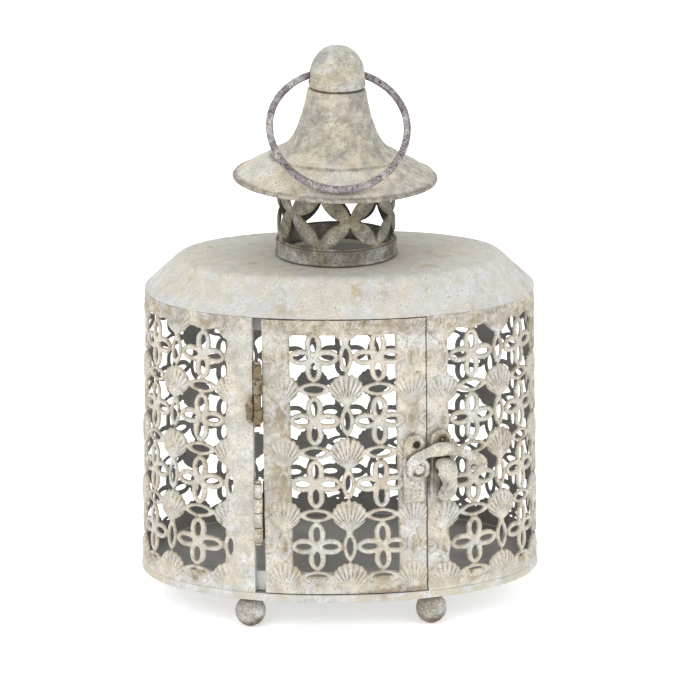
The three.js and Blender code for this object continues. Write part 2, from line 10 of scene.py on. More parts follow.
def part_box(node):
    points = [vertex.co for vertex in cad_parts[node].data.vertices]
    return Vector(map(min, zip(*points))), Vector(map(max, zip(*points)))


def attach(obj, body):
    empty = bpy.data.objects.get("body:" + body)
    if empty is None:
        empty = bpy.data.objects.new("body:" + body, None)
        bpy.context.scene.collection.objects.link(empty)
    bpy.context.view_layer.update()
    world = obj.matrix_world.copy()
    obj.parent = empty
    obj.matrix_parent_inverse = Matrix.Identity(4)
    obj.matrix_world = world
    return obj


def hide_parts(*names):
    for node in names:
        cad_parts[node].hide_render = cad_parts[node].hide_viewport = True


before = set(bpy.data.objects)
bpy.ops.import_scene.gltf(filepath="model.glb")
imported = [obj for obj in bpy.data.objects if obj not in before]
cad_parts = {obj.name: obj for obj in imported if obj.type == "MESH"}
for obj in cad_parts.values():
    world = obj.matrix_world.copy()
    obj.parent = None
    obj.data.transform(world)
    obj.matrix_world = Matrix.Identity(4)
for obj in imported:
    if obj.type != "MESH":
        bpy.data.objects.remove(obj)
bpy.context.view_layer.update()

MM = 0.001


# ---------------------------------------------------------------- sizes read from the frame, in mm

def box_mm(node):
    low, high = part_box(node)
    return np.array(low) / MM, np.array(high) / MM


BODY_Z = box_mm("base_rim")[0][2]         # bottom edge of the body, above the feet


def levels(node):
    """Bottom and top of a CAD node above the body's bottom edge."""
    low, high = box_mm(node)
    return low[2] - BODY_Z, high[2] - BODY_Z


roof_low, roof_high = box_mm("roof_shell")
collar_low, collar_high = box_mm("chimney_collar")
CENTRE_Y = (roof_low[1] + roof_high[1]) / 2
CHIMNEY_X = (collar_low[0] + collar_high[0]) / 2
CHIMNEY = np.array([CHIMNEY_X, CENTRE_Y, BODY_Z])
ROOF_RIM, ROOF_TOP = levels("roof_shell")
WALL_BOTTOM, WALL_TOP = levels("wall_left")
DOOR_BOTTOM, DOOR_TOP = levels("door_lattice")
COLLAR_BOTTOM, COLLAR_TOP = levels("chimney_collar")
GALLERY_BOTTOM, GALLERY_TOP = levels("chimney_gallery")
CAP_TOP = levels("chimney_cap")[1]

# The plan is a superellipse; the walls flare outwards at the two ends, towards their bottom edge.
PLAN_A = (roof_high[0] - roof_low[0]) / 2
PLAN_B = (roof_high[1] - roof_low[1]) / 2
PLAN_POWER = 2.2
FLARE, FLARE_FROM, FLARE_TO = 2.7, 45.0, 80.0

# Lattice layout along the wall (arc length from the front centre) and up it.
ROW_HEIGHT, WALL_FIRST_ROW, DOOR_FIRST_ROW = 27.2, 22.7, 24.4
FIRST_COLUMN, LAST_COLUMN, WALL_COLUMNS = 54.3, -61.6, 13
DOOR_COLUMN, DOOR_PITCH = -12.5, 26.6
DOOR_LEFT, DOOR_RIGHT = -34.1, 33.2
WINDOW = (-22.7, 21.2, 11.0, 115.4)       # left, right, bottom, top of the door's window
WALL_LEFT_EDGE, WALL_RIGHT_EDGE = -38.5, 33.9
JAMB_LEFT, JAMB_RIGHT = 11.8, 9.2
STRIP_LEFT = 7.4                          # width of the strip on the left jamb
STEP = 0.5                                # grid of the embossed sheets
SHEET_INSET = 0.95                        # from the wall's outer face to the sheet's base


# ---------------------------------------------------------------- the plan curve

def wrapped(distance, period):
    """The distance to the nearest multiple of the period."""
    return distance - period * np.round(distance / period)


def plan_at(t):
    """Position and outward normal on half of the plan, from its front centre (t = 0) to its back (t = pi)."""
    p = 2 / PLAN_POWER
    x = PLAN_A * np.abs(np.sin(t)) ** p
    y = -PLAN_B * np.sign(np.cos(t)) * np.abs(np.cos(t)) ** p
    nx = (x / PLAN_A) ** (PLAN_POWER - 1) / PLAN_A
    ny = np.sign(y) * np.abs(y / PLAN_B) ** (PLAN_POWER - 1) / PLAN_B
    length = np.hypot(nx, ny)
    return x, y, nx / length, ny / length


plan_t = np.linspace(0, math.pi, 4001)
plan_x, plan_y, _, _ = plan_at(plan_t)
plan_arc = np.concatenate([[0], np.cumsum(np.hypot(np.diff(plan_x), np.diff(plan_y)))])
PERIMETER = 2 * plan_arc[-1]
COLUMN_PITCH = (PERIMETER + LAST_COLUMN - FIRST_COLUMN) / (WALL_COLUMNS - 1)


def wall_point(u, inset, z):
    """Points on the wall at arc length u, moved inwards by inset, z above the body's bottom; in metres."""
    u, inset, z = np.broadcast_arrays(*(np.asarray(v, float) for v in (u, inset, z)))
    around = wrapped(u, PERIMETER)
    side = np.where(around < 0, -1.0, 1.0)
    x, y, nx, ny = plan_at(np.interp(np.abs(around), plan_arc, plan_t))
    s = np.clip((x - FLARE_FROM) / (FLARE_TO - FLARE_FROM), 0, 1)
    spread = FLARE * np.clip(1 - z / WALL_TOP, 0, 1) * s * s * (3 - 2 * s)
    points = np.stack([side * (x - nx * inset + spread), y - ny * inset + CENTRE_Y, z + BODY_Z], -1)
    return points * MM


# The sheets were bent by hand: the pattern leans a little, by these amounts along the wall (mm) at
# the top and bottom rows.
LEAN_AT = [-100, -75, -61.6, -50, -38.5, -34.1, -12.5, 14.1, 21.2, 33.2, 54.3, 75, 100]
LEAN_TOP = [0, 0.5, 0.9, 0.3, -0.2, -0.5, -0.8, -0.8, -0.5, 0, -0.2, 0, 0]
LEAN_BOTTOM = [0, -1.8, -2.1, -0.8, 0.3, 0.4, 0.5, 1.5, 1.5, 1.0, 2.0, 1.8, 0]
LEAN_ROWS = (24.4, 106.0)


def leaned(u, z):
    """Arc length with the sheets' lean added."""
    around = wrapped(u, PERIMETER)
    low, high = LEAN_ROWS
    t = np.clip((z - low) / (high - low), -0.25, 1.2)
    return u + t * np.interp(around, LEAN_AT, LEAN_TOP) + (1 - t) * np.interp(around, LEAN_AT, LEAN_BOTTOM)


def wall_frame(u):
    """A matrix that stands on the wall at u: X along it, Y inwards, Z up from the body's bottom."""
    a, b = wall_point(u, 0, WALL_TOP), wall_point(u, 1, WALL_TOP)
    inwards = Vector(b - a).normalized()
    along = inwards.cross(Vector((0, 0, 1)))
    basis = Matrix((along, inwards, (0, 0, 1))).transposed().to_4x4()
    return Matrix.Translation((a[0], a[1], BODY_Z * MM)) @ basis


# ---------------------------------------------------------------- noise

def value_noise(points, size, seed=0):
    """Smooth noise from -1 to 1; points and size share their unit."""
    q = np.asarray(points, float) / size + seed * 17.37 + 1000
    cell = np.floor(q).astype(np.int64)
    f = q - cell
    f = f * f * (3 - 2 * f)
    total = np.zeros(q.shape[:-1])
    for corner in np.ndindex(2, 2, 2):
        c = cell + corner
        h = (c[..., 0] * 73856093) ^ (c[..., 1] * 19349663) ^ (c[..., 2] * 83492791)
        h = ((h ^ (h >> 13)) * 1274126177) & 0x7FFFFFFF
        weight = np.prod(np.where(np.array(corner) == 1, f, 1 - f), -1)
        total += weight * (h / 0x3FFFFFFF - 1)
    return total


def rough(points, size, seed=0, octaves=3):
    return sum(value_noise(points, size / 2 ** i, seed + i) / 2 ** i for i in range(octaves)) / 1.75


def smooth_min(a, b, k):
    h = np.clip(0.5 + 0.5 * (b - a) / k, 0, 1)
    return b * (1 - h) + a * h - k * h * (1 - h)


# ---------------------------------------------------------------- materials

def srgb(value):
    """Linear colour from a hex string."""
    parts = [int(value[i:i + 2], 16) / 255 for i in (0, 2, 4)]
    return tuple(c / 12.92 if c <= 0.04045 else ((c + 0.055) / 1.055) ** 2.4 for c in parts) + (1.0,)


class Graph:
    """A small helper to write a material's node tree."""

    def __init__(self, name):
        self.material = bpy.data.materials.new(name)
        self.material.use_nodes = True
        self.tree = self.material.node_tree
        self.tree.nodes.clear()
        output = self.tree.nodes.new("ShaderNodeOutputMaterial")
        self.shader = self.tree.nodes.new("ShaderNodeBsdfPrincipled")
        self.tree.links.new(self.shader.outputs[0], output.inputs[0])
        self.coords = self.add("ShaderNodeTexCoord").outputs["Object"]

    def add(self, kind, inputs=None, **settings):
        node = self.tree.nodes.new(kind)
        for key, value in settings.items():
            setattr(node, key, value)
        for key, value in (inputs or {}).items():
            self.put(node.inputs[key], value)
        return node

    def put(self, socket, value):
        if isinstance(value, bpy.types.NodeSocket):
            self.tree.links.new(value, socket)
        else:
            socket.default_value = value

    def noise(self, size_mm, detail=4, roughness=0.6, distortion=0.0, coords=None):
        node = self.add("ShaderNodeTexNoise", {
            "Vector": coords or self.coords, "Scale": 1 / (size_mm * MM), "Detail": detail,
            "Roughness": roughness, "Distortion": distortion})
        return node.outputs[0]

    def stretched(self, factors):
        node = self.add("ShaderNodeMapping", {"Vector": self.coords, "Scale": factors})
        return node.outputs[0]

    def cells(self, size_mm, feature="F1"):
        return self.add("ShaderNodeTexVoronoi", {"Vector": self.coords, "Scale": 1 / (size_mm * MM)},
                        feature=feature).outputs["Distance"]

    def attribute(self, name):
        return self.add("ShaderNodeAttribute", attribute_name=name).outputs["Fac"]

    def ramp(self, value, low, high, to_low=0.0, to_high=1.0):
        node = self.add("ShaderNodeMapRange", {
            "Value": value, "From Min": low, "From Max": high, "To Min": to_low, "To Max": to_high},
            interpolation_type="SMOOTHSTEP")
        return node.outputs[0]

    def math(self, operation, a, b=0.0, clamp=False):
        node = self.add("ShaderNodeMath", operation=operation, use_clamp=clamp)
        self.put(node.inputs[0], a)
        self.put(node.inputs[1], b)
        return node.outputs[0]

    def plus(self, a, b, clamp=False):
        return self.math("ADD", a, b, clamp)

    def times(self, a, b):
        return self.math("MULTIPLY", a, b)

    def mix(self, factor, a, b, blend="MIX"):
        node = self.add("ShaderNodeMix", data_type="RGBA", blend_type=blend)
        self.put(node.inputs[0], factor)
        self.put(node.inputs[6], a)
        self.put(node.inputs[7], b)
        return node.outputs[2]

    def finish(self, colour, roughness, height, strength=0.5, distance_mm=0.3, metallic=0.0):
        bump = self.add("ShaderNodeBump", {
            "Height": height, "Strength": strength, "Distance": distance_mm * MM})
        self.put(self.shader.inputs["Base Color"], colour)
        self.put(self.shader.inputs["Roughness"], roughness)
        self.put(self.shader.inputs["Normal"], bump.outputs[0])
        self.put(self.shader.inputs["Metallic"], metallic)
        self.shader.inputs["Specular IOR Level"].default_value = 0.35
        return self.material


def distressed_paint(name, tones, dirt=0.5, speckle=0.5, grime_and_shade=0.0, mottle=0.10, plate=None, patchy=0.25):
    """Chalky paint in several worn layers: pale and warm patches, tan stains, rust and fine specks.

    tones are the hex colours of body, pale, warm, tan and rust. The mesh attribute "cavity" is 1 in recesses,
    where stain and rust gather. Where the mask attribute of stains and painted shade is 1, the paint turns to
    the plate colour. The amount of occlusion darkening turns occluded crevices towards rust, as painted
    shade.
    """
    body, pale, warm, tan, rust = map(srgb, tones.split())
    g = Graph(name)
    cavity = g.attribute("cavity")
    broad = g.noise(38, 3, 0.55, 0.6)
    patch = g.noise(13, 5, 0.62, 0.8)
    cloud = g.noise(6, 4, 0.6, 0.5)
    fine = g.noise(3.2, 5, 0.65, 0.4)
    grit = g.noise(0.9, 3, 0.75)
    colour = g.mix(g.ramp(broad, 0.40, 0.60), body, warm)
    colour = g.mix(g.ramp(patch, 0.48, 0.60), colour, pale)
    # Where the mask attribute is 1 the paint turns to the plate colour: real stains on some parts, painted
    # shade on others.
    if plate:
        worn = g.plus(g.times(g.plus(patch, grit), 0.3), g.times(fine, 0.4))
        spread = g.plus(g.attribute("grime_and_shade"), g.times(g.ramp(worn, 0.40, 0.60, -patchy, patchy),
                                                      g.ramp(g.attribute("grime_and_shade"), 0.0, 0.15)), True)
        colour = g.mix(g.times(spread, 0.9), colour, srgb(plate))
    streaks = g.noise(9, 4, 0.6, 0.3, g.stretched((1.0, 1.0, 0.35)))
    colour = g.mix(g.ramp(streaks, 0.54, 0.72, 0, 0.75), colour, tan)
    recess = g.times(cavity, g.ramp(fine, 0.36, 0.58, 0.25, 0.75))
    colour = g.mix(recess, colour, tan)
    blotch = g.plus(g.times(fine, 0.65), g.times(patch, 0.35))
    stain_level = g.plus(blotch, g.times(cavity, 0.15))
    stain = g.ramp(stain_level, 0.61 - 0.08 * dirt, 0.74 - 0.06 * dirt)
    colour = g.mix(g.times(stain, 0.8), colour, tan)
    rust_level = g.plus(g.plus(g.times(fine, 0.5), g.times(grit, 0.3)),
                        g.plus(g.times(broad, 0.2), g.times(cavity, 0.07)))
    rusted = g.ramp(rust_level, 0.665 - 0.05 * dirt, 0.70 - 0.04 * dirt)
    colour = g.mix(g.times(rusted, 0.85), colour, rust)
    specks = g.ramp(g.cells(1.3), 0.26, 0.14)
    speck_mask = g.times(specks, g.ramp(cloud, 0.42, 0.58, 0.1 * speckle, speckle))
    colour = g.mix(speck_mask, colour, rust)
    shade = g.times(g.ramp(grit, 0.3, 0.7, 1 - mottle, 1 + 0.5 * mottle),
                    g.ramp(cloud, 0.32, 0.68, 1 - mottle, 1 + 0.5 * mottle))
    colour = g.mix(1.0, colour, g.add("ShaderNodeCombineColor", {
        "Red": shade, "Green": shade, "Blue": shade}).outputs[0], "MULTIPLY")
    # Painted shade: crevices that the ambient-occlusion node finds occluded are darkened towards the rust
    # colour.
    if grime_and_shade:
        occluded = g.add("ShaderNodeAmbientOcclusion", {"Distance": 4 * MM}, samples=8).outputs["AO"]
        colour = g.mix(g.ramp(occluded, 0.75, 0.25, 0, grime_and_shade), colour, rust)
    roughness = g.plus(0.72, g.times(rusted, 0.2), True)
    height = g.plus(g.times(grit, 0.45), g.math(
        "SUBTRACT", g.plus(g.times(patch, 0.4), g.times(fine, 0.4)), g.times(rusted, 0.45)))
    return g.finish(colour, roughness, height, 0.7, 0.3)


def dark_primer(name, tones):
    """The bare inner faces: matt grey primer with dust and faint rust; tones are base, light and rust."""
    tone, light, rust = map(srgb, tones.split())
    g = Graph(name)
    broad = g.noise(22, 4, 0.6, 0.5)
    fine = g.noise(2.4, 4, 0.65)
    colour = g.mix(g.ramp(broad, 0.4, 0.65), tone, light)
    colour = g.mix(g.ramp(fine, 0.62, 0.74, 0, 0.6), colour, rust)
    return g.finish(colour, g.ramp(fine, 0.3, 0.7, 0.7, 0.9), fine, 0.3, 0.15)


def worn_metal(name, tones, metallic=0.35, fleck_share=0.5):
    """Rubbed metal with dark pits and chips of paint; tones are base, light, dark and fleck."""
    tone, light, dark, fleck = map(srgb, tones.split())
    g = Graph(name)
    broad = g.noise(8, 4, 0.6, 0.4)
    fine = g.noise(1.3, 4, 0.7, 0.5)
    grit = g.noise(0.5, 3, 0.7)
    colour = g.mix(g.ramp(broad, 0.40, 0.62), tone, light)
    colour = g.mix(g.ramp(fine, 0.50, 0.62, 0, 0.9), colour, dark)
    chips = g.plus(g.times(grit, 0.65), g.times(broad, 0.35))
    flecks = g.ramp(chips, 0.61 - 0.10 * fleck_share, 0.65 - 0.10 * fleck_share)
    colour = g.mix(flecks, colour, fleck)
    metal = g.times(g.math("SUBTRACT", 1.0, flecks), metallic)
    height = g.plus(g.times(fine, 0.6), g.times(flecks, 0.4))
    return g.finish(colour, g.ramp(fine, 0.3, 0.7, 0.45, 0.75), height, 0.6, 0.2, metal)


METAL_CREAM = distressed_paint("cream_metal", "b9b5ab cfcdc9 c4bba5 8d7f66 57462f", 0.95, 0.9, 0.9, 0.32,
                               plate="5c4a34")
SHEET = distressed_paint("sheet_paint", "c3bfb5 c9c8c5 c9c2b4 9f9278 68563f", 0.7, 0.8, 0.4, 0.18,
                         plate="87775f", patchy=0.5)
# The roof paint's plate colour is painted shade on the roof's top plate.
ROOF = distressed_paint("roof_paint", "bfbdb7 c5c5c4 c6c0b3 aa9c82 74614a", 0.35, 0.7, 0.3, plate="b4afa2")
BEIGE = distressed_paint("beige_paint", "aca99e b7b5af b6ae9a 8d8068 5d5040", 0.55, 1.0, 0.5, 0.26)
# The cap paint's plate colour is the cap's darker tone and its painted shade.
CAP = distressed_paint("cap_paint", "c6c2b6 c8c6bc ccc4b1 a0957e 5d5040", 0.15, 1.0, 0.5, 0.16,
                       plate="6a6155", patchy=0.35)
OLIVE = distressed_paint("olive_metal", "827e75 a3a19b 8a8470 736542 43382a", 0.85, 1.0, 0.5, 0.42)
PLAIN = distressed_paint("band_paint", "bfbebb cbcbc9 c4beb2 9d948a 75664f", 0.3, 0.4)
RAIL = distressed_paint("rail_paint", "bbbab6 c8c8c7 c1bba9 a09684 6c5b44", 0.45, 0.6)
BALL = distressed_paint("ball_paint", "b0ada7 c6c3bf ada592 857659 503f2d", 0.9, 1.0, 0.4, 0.34,
                        plate="5f4d33", patchy=0.5)
GALLERY_INSIDE = distressed_paint("gallery_inside", "4a444a 57525a 4c4346 40353a 33291f", 0.5, 0.5)
INNER = dark_primer("inner_primer", "8a8886 9a9896 7d7365")
FLOOR_GREY = dark_primer("tray_primer", "918f8c a09e9a 857b6d")
# Near-black, as painted shade for the latch plate's upper hole.
HOLE_SHADE = dark_primer("hole_shade_screw", "2a2622 3a3530 4b3a28")
WIRE = worn_metal("ring_wire", "7a7376 948f8f 443539 c9c4be", 0.3, 0.72)
RUSTY = worn_metal("rusty_steel", "8a7c66 a39a88 55412c c4bcab", 0.1, 0.6)
CRUST = worn_metal("rust_crust", "75664d 948670 433220 b3a893", 0.0, 0.45)


# ---------------------------------------------------------------- mesh helpers

def facing_out(points, faces):
    """The same faces, turned round if the closed surface is inside out."""
    points = points - points.mean(0)
    volume = sum(np.einsum("ij,ij->", points[f[:, 0]], np.cross(points[f[:, i]], points[f[:, i + 1]]))
                 for f in faces for i in range(1, f.shape[1] - 1))
    return [f[:, ::-1] for f in faces] if volume < 0 else faces


def mesh_piece(name, verts, faces, materials, face_materials=None, sharp=40, attributes=None):
    """An object from arrays: verts (n, 3) in metres, faces a list of (m, 3) or (m, 4) index arrays."""
    mesh = bpy.data.meshes.new(name)
    faces = facing_out(np.asarray(verts, float), [np.asarray(f, np.int32) for f in faces if len(f)])
    sizes = np.concatenate([np.full(len(f), f.shape[1], np.int32) for f in faces])
    corners = np.concatenate([f.ravel() for f in faces])
    mesh.vertices.add(len(verts))
    mesh.vertices.foreach_set("co", np.asarray(verts, np.float32).ravel())
    mesh.loops.add(len(corners))
    mesh.loops.foreach_set("vertex_index", corners)
    mesh.polygons.add(len(sizes))
    mesh.polygons.foreach_set("loop_start", np.concatenate([[0], np.cumsum(sizes)[:-1]]).astype(np.int32))
    for m in materials:
        mesh.materials.append(m)
    if face_materials is not None:
        mesh.polygons.foreach_set("material_index", np.concatenate(face_materials).astype(np.int32))
    mesh.update(calc_edges=True)
    for key, values in (attributes or {}).items():
        layer = mesh.attributes.new(key, "FLOAT", "POINT")
        layer.data.foreach_set("value", np.asarray(values, np.float32))
    mesh.polygons.foreach_set("use_smooth", np.ones(len(sizes), bool))
    mesh.set_sharp_from_angle(angle=math.radians(sharp))
    obj = bpy.data.objects.new(name, mesh)
    bpy.context.scene.collection.objects.link(obj)
    return obj


def merged(obj, distance_mm=0.002):
    """Welds seams and poles of a generated mesh and makes its normals agree."""
    bm = bmesh.new()
    bm.from_mesh(obj.data)
    bmesh.ops.remove_doubles(bm, verts=bm.verts, dist=distance_mm * MM)
    bmesh.ops.dissolve_degenerate(bm, edges=bm.edges, dist=distance_mm * MM)
    bmesh.ops.recalc_face_normals(bm, faces=bm.faces)
    bm.to_mesh(obj.data)
    bm.free()
    return obj


def settle(obj, body, slot, *nodes):
    """Finishes a piece: it rides on a body and stands for CAD nodes, which it hides.
    slot is not used.
    """
    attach(obj, body)
    if nodes:
        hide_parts(*nodes)
    return obj


def rounded(points, radius, cuts=4):
    """An open polyline with its inner corners rounded; a third number in a point is its own radius."""
    out = [np.array(points[0][:2], float)]
    for before, here, after in zip(points, points[1:], points[2:]):
        r = here[2] if len(here) > 2 else radius
        a, b, c = (np.array(p[:2], float) for p in (before, here, after))
        la, lc = np.linalg.norm(a - b), np.linalg.norm(c - b)
        ra, rc = min(r, la * 0.48), min(r, lc * 0.48)
        start, end = b + (a - b) / la * ra, b + (c - b) / lc * rc
        for i in range(cuts + 1):
            t = i / cuts
            out.append((1 - t) ** 2 * start + 2 * t * (1 - t) * b + t * t * end)
    out.append(np.array(points[-1][:2], float))
    return np.array(out)


def densified(points, step):
    """The same polyline with no straight run longer than step."""
    out = [points[0]]
    for a, b in zip(points, points[1:]):
        n = max(1, int(math.ceil(np.linalg.norm(b - a) / step)))
        out.extend(a + (b - a) * i / n for i in range(1, n + 1))
    return np.array(out)


def grid_faces(rows, columns, wrap_rows=False, wrap_columns=False):
    """Quads of a rows x columns grid of vertices."""
    r = np.arange(rows if wrap_rows else rows - 1)
    c = np.arange(columns if wrap_columns else columns - 1)
    r, c = np.meshgrid(r, c, indexing="ij")
    r1, c1 = (r + 1) % rows, (c + 1) % columns
    corners = [r * columns + c, r1 * columns + c, r1 * columns + c1, r * columns + c1]
    return np.stack(corners, -1).reshape(-1, 4)


def end_fans(rings, sides):
    """Triangles that close the first and the last ring of a bar with the two vertices after the rings."""
    ring = np.arange(sides)
    after = (ring + 1) % sides
    count, last = rings * sides, (rings - 1) * sides
    return [np.stack([np.full(sides, count), after, ring], -1),
            np.stack([np.full(sides, count + 1), last + ring, last + after], -1)]


def unit(vectors, least=0.0):
    """The vectors at length 1."""
    return vectors / (np.linalg.norm(vectors, axis=-1)[..., None] + least)


def turned(name, profile, centre, materials, segments=128, dents=0.0, grain=0.0, seed=0, closed=False,
           grime_and_shade=None):
    """A solid of revolution about Z from (radius, height) points in mm, with dents and surface grain.
    The mask of stains and painted shade is a value for each point, or one row of them for each segment."""
    profile = np.asarray(profile, float)
    a = np.linspace(0, 2 * math.pi, segments, endpoint=False)
    r, z = profile[:, 0], profile[:, 1]
    points = np.stack([np.outer(np.cos(a), r), np.outer(np.sin(a), r), np.tile(z, (segments, 1))], -1)
    outward = np.stack([np.cos(a)[:, None] * np.ones_like(r), np.sin(a)[:, None] * np.ones_like(r),
                        np.zeros((segments, len(r)))], -1)
    bump = dents * rough(points, 14, seed) + grain * rough(points, 1.6, seed + 5)
    points = points + outward * (bump * np.clip(r / 3, 0, 1))[..., None]
    points[..., 2] += 0.5 * bump
    verts = (points.reshape(-1, 3) + centre) * MM
    if grime_and_shade is not None:
        grime_and_shade = {"grime_and_shade": np.broadcast_to(grime_and_shade, (segments, len(r))).ravel()}
    faces = [grid_faces(segments, len(r), True, closed)]
    return merged(mesh_piece(name, verts, faces, materials, attributes=grime_and_shade))


def tube(name, path, radii, materials, sides=20, closed=False, grain=0.0, seed=0):
    """A round bar along a path of points in mm, with a radius for each."""
    path = np.asarray(path, float)
    n = len(path)
    if closed:
        tangent = np.roll(path, -1, 0) - np.roll(path, 1, 0)
    else:
        tangent = np.gradient(path, axis=0)
    tangent = unit(tangent)
    normal = np.cross(tangent[0], (0.3, 1.0, 0.2))
    frames = []
    for t in tangent:
        normal = normal - t * np.dot(normal, t)
        normal = normal / np.linalg.norm(normal)
        frames.append((normal, np.cross(t, normal)))
    a = np.linspace(0, 2 * math.pi, sides, endpoint=False)
    rings = []
    for p, (e1, e2), r in zip(path, frames, radii):
        rings.append(p + r * (np.outer(np.cos(a), e1) + np.outer(np.sin(a), e2)))
    points = np.array(rings)
    if grain:
        out = unit(points - path[:, None, :])
        points = points + out * (grain * rough(points, 1.8, seed))[..., None]
    faces = [grid_faces(n, sides, closed, True)]
    verts = points.reshape(-1, 3)
    if not closed:
        verts = np.concatenate([verts, path[:1], path[-1:]])
        faces += end_fans(n, sides)
    return mesh_piece(name, verts * MM, faces, materials)


def sweep(name, centres, side, depth, widths, thicknesses, materials, sides=24, grain=0.0, seed=0, ends=5):
    """A bar with rounded ends: at each centre an ellipse spanned by a side vector and a depth vector."""
    c, side, depth = (np.asarray(v, float) for v in (centres, side, depth))
    tangent = unit(np.gradient(c, axis=0))
    w, d = np.asarray(widths, float), np.asarray(thicknesses, float)
    cap = np.linspace(0, math.pi / 2, ends + 1)[:-1]

    def cap_station(end, sign, x):
        middle = c[end] + sign * tangent[end] * w[end] * math.cos(x)
        return middle, side[end], w[end] * math.sin(x), d[end] * math.sin(x)

    stations = [cap_station(0, -1, x) for x in cap] + list(zip(c, side, w, d))
    stations += [cap_station(-1, 1, x) for x in cap[::-1]]
    angle = np.linspace(0, 2 * math.pi, sides, endpoint=False)
    rings = []
    for p, s, wi, di in stations:
        rings.append(p + np.outer(np.cos(angle), s) * wi + np.outer(np.sin(angle), depth) * di)
    points = np.array(rings)
    if grain:
        out = unit(points - np.array([s[0] for s in stations])[:, None, :], 1e-9)
        bump = grain * (rough(points, 2.6, seed) + 0.5 * rough(points, 0.9, seed + 3))
        points = points + out * bump[..., None]
    faces = [grid_faces(len(stations), sides, False, True)]
    return merged(mesh_piece(name, points.reshape(-1, 3) * MM, faces, materials))


def joined(name, objects):
    """One object from several; their materials are kept."""
    with bpy.context.temp_override(active_object=objects[0], selected_editable_objects=objects):
        bpy.ops.object.join()
    objects[0].name = name
    objects[0].data.name = name
    objects[0].data.set_sharp_from_angle(angle=math.radians(40))
    return objects[0]


def moved(obj, matrix):
    """Bakes a matrix in metres into an object's mesh."""
    obj.data.transform(matrix)
    return obj


def shift_mm(x, y, z):
    return Matrix.Translation((x * MM, y * MM, z * MM))


FACING_OUT = Matrix.Rotation(math.pi / 2, 4, "X")     # lays a turned piece's axis along -Y


def soft_box(name, low, high, edge, materials, worn, seed):
    """A box with rounded and slightly worn edges, from corner to corner in mm."""
    bm = bmesh.new()
    bmesh.ops.create_cube(bm, size=1)
    low, high = np.array(low, float), np.array(high, float)
    for v in bm.verts:
        v.co = Vector((low + high) / 2) + Vector(np.array(v.co) * (high - low))
    bmesh.ops.bevel(bm, geom=bm.edges[:], offset=edge, segments=2, profile=0.5, affect="EDGES")
    long_edges = [e for e in bm.edges if e.calc_length() > 2.5]
    bmesh.ops.subdivide_edges(bm, edges=long_edges, cuts=5, use_grid_fill=True)
    for v in bm.verts:
        v.co += v.normal * float(worn * rough(np.array(v.co), 3.5, seed))
    bm.verts.index_update()
    verts = np.array([v.co for v in bm.verts])
    loops = [[v.index for v in f.verts] for f in bm.faces]
    bm.free()
    # Blender lists these faces in another order each run, so they are sorted.
    starts = [loop.index(min(loop)) for loop in loops]
    quads = sorted(loop[k:] + loop[:k] for loop, k in zip(loops, starts))
    return mesh_piece(name, verts * MM, [quads], materials)


def loop_piece(name, profile, materials, hole_radius=0.0, segments=420, dents=0.0, grain=0.0, seed=0,
               hole_x=0.0, grime_and_shade=None):
    """A solid that follows the whole plan. The profile is a closed list of (inset, blend, z) in mm, where
    blend 0 lies on the wall's curve and blend 1 on a circle of hole_radius about the middle."""
    inset, blend, z = np.array(profile, float).T
    u = np.arange(segments) * PERIMETER / segments
    base = wall_point(u[:, None], inset[None, :], z[None, :]) / MM
    middle = np.array([hole_x, CENTRE_Y, 0])
    direction = unit((base - middle) * (1, 1, 0))
    circle = middle + direction * max(hole_radius, 0.01)
    circle[..., 2] = base[..., 2]
    points = base * (1 - blend)[None, :, None] + circle * blend[None, :, None]
    bump = dents * rough(points, 26, seed) + grain * rough(points, 2.2, seed + 7)
    points = points + direction * (0.7 * bump)[..., None]
    points[..., 2] += 0.7 * bump
    extra = {"grime_and_shade": np.tile(grime_and_shade, segments)} if grime_and_shade is not None else None
    faces = [grid_faces(segments, len(inset), True, True)]
    return mesh_piece(name, points.reshape(-1, 3) * MM, faces, materials, attributes=extra)


def strip_piece(name, span, heights, insets, seed):
    """A thin strip bent along the wall, with softened edges and a slight unevenness."""
    (u0, u1), (z0, z1), (i0, i1) = span, heights, insets
    middle = (z0 + z1) / 2
    outline = rounded([(i0, middle), (i0, z1), (i1, z1), (i1, z0), (i0, z0), (i0, middle)], 0.35, 3)
    inset, z = densified(outline, 6.0)[:-1].T
    n = max(2, int((u1 - u0) / 3.0))
    rings = []
    for u in np.linspace(u0, u1, n + 1):
        wobble = 0.12 * rough(np.stack([np.full(len(z), u), z, inset], -1), 9, seed)
        rings.append(wall_point(leaned(u, z), inset + wobble, z))
    points = np.array(rings)
    verts = np.concatenate([points.reshape(-1, 3), points[:1].mean(1), points[-1:].mean(1)])
    faces = [grid_faces(n + 1, len(z), False, True)] + end_fans(n + 1, len(z))
    return merged(mesh_piece(name, verts, faces, [PLAIN]))


# ---------------------------------------------------------------- pierced and embossed sheets

def ellipse_depth(x, y, half_x, half_y):
    """Roughly how far a point lies inside an ellipse, in mm; negative outside."""
    q = np.sqrt((x / half_x) ** 2 + (y / half_y) ** 2) + 1e-6
    slope = np.sqrt((x / half_x ** 2) ** 2 + (y / half_y ** 2) ** 2) / q
    return (1 - q) / np.maximum(slope, 1 / max(half_x, half_y))


def lens_depth(across, along, half_across, half_along):
    """How far a point lies inside a pointed oval, in mm; negative outside."""
    radius = (half_along ** 2 + half_across ** 2) / (2 * half_across)
    return radius - np.hypot(np.abs(across) + radius - half_across, along)


def smooth_max(a, b, k):
    return -smooth_min(-a, -b, k)


SHELL_ANGLES = [0, 15, 28, 38, 45, 52, 58, 64, 70, 78, 90, 180]
SHELL_REACH = [12.7, 12.4, 11.6, 10.6, 9.6, 8.3, 7.0, 5.4, 3.6, 2.1, 1.4, 1.2]
FLUTE = 11.6                              # degrees between the shell's flutes


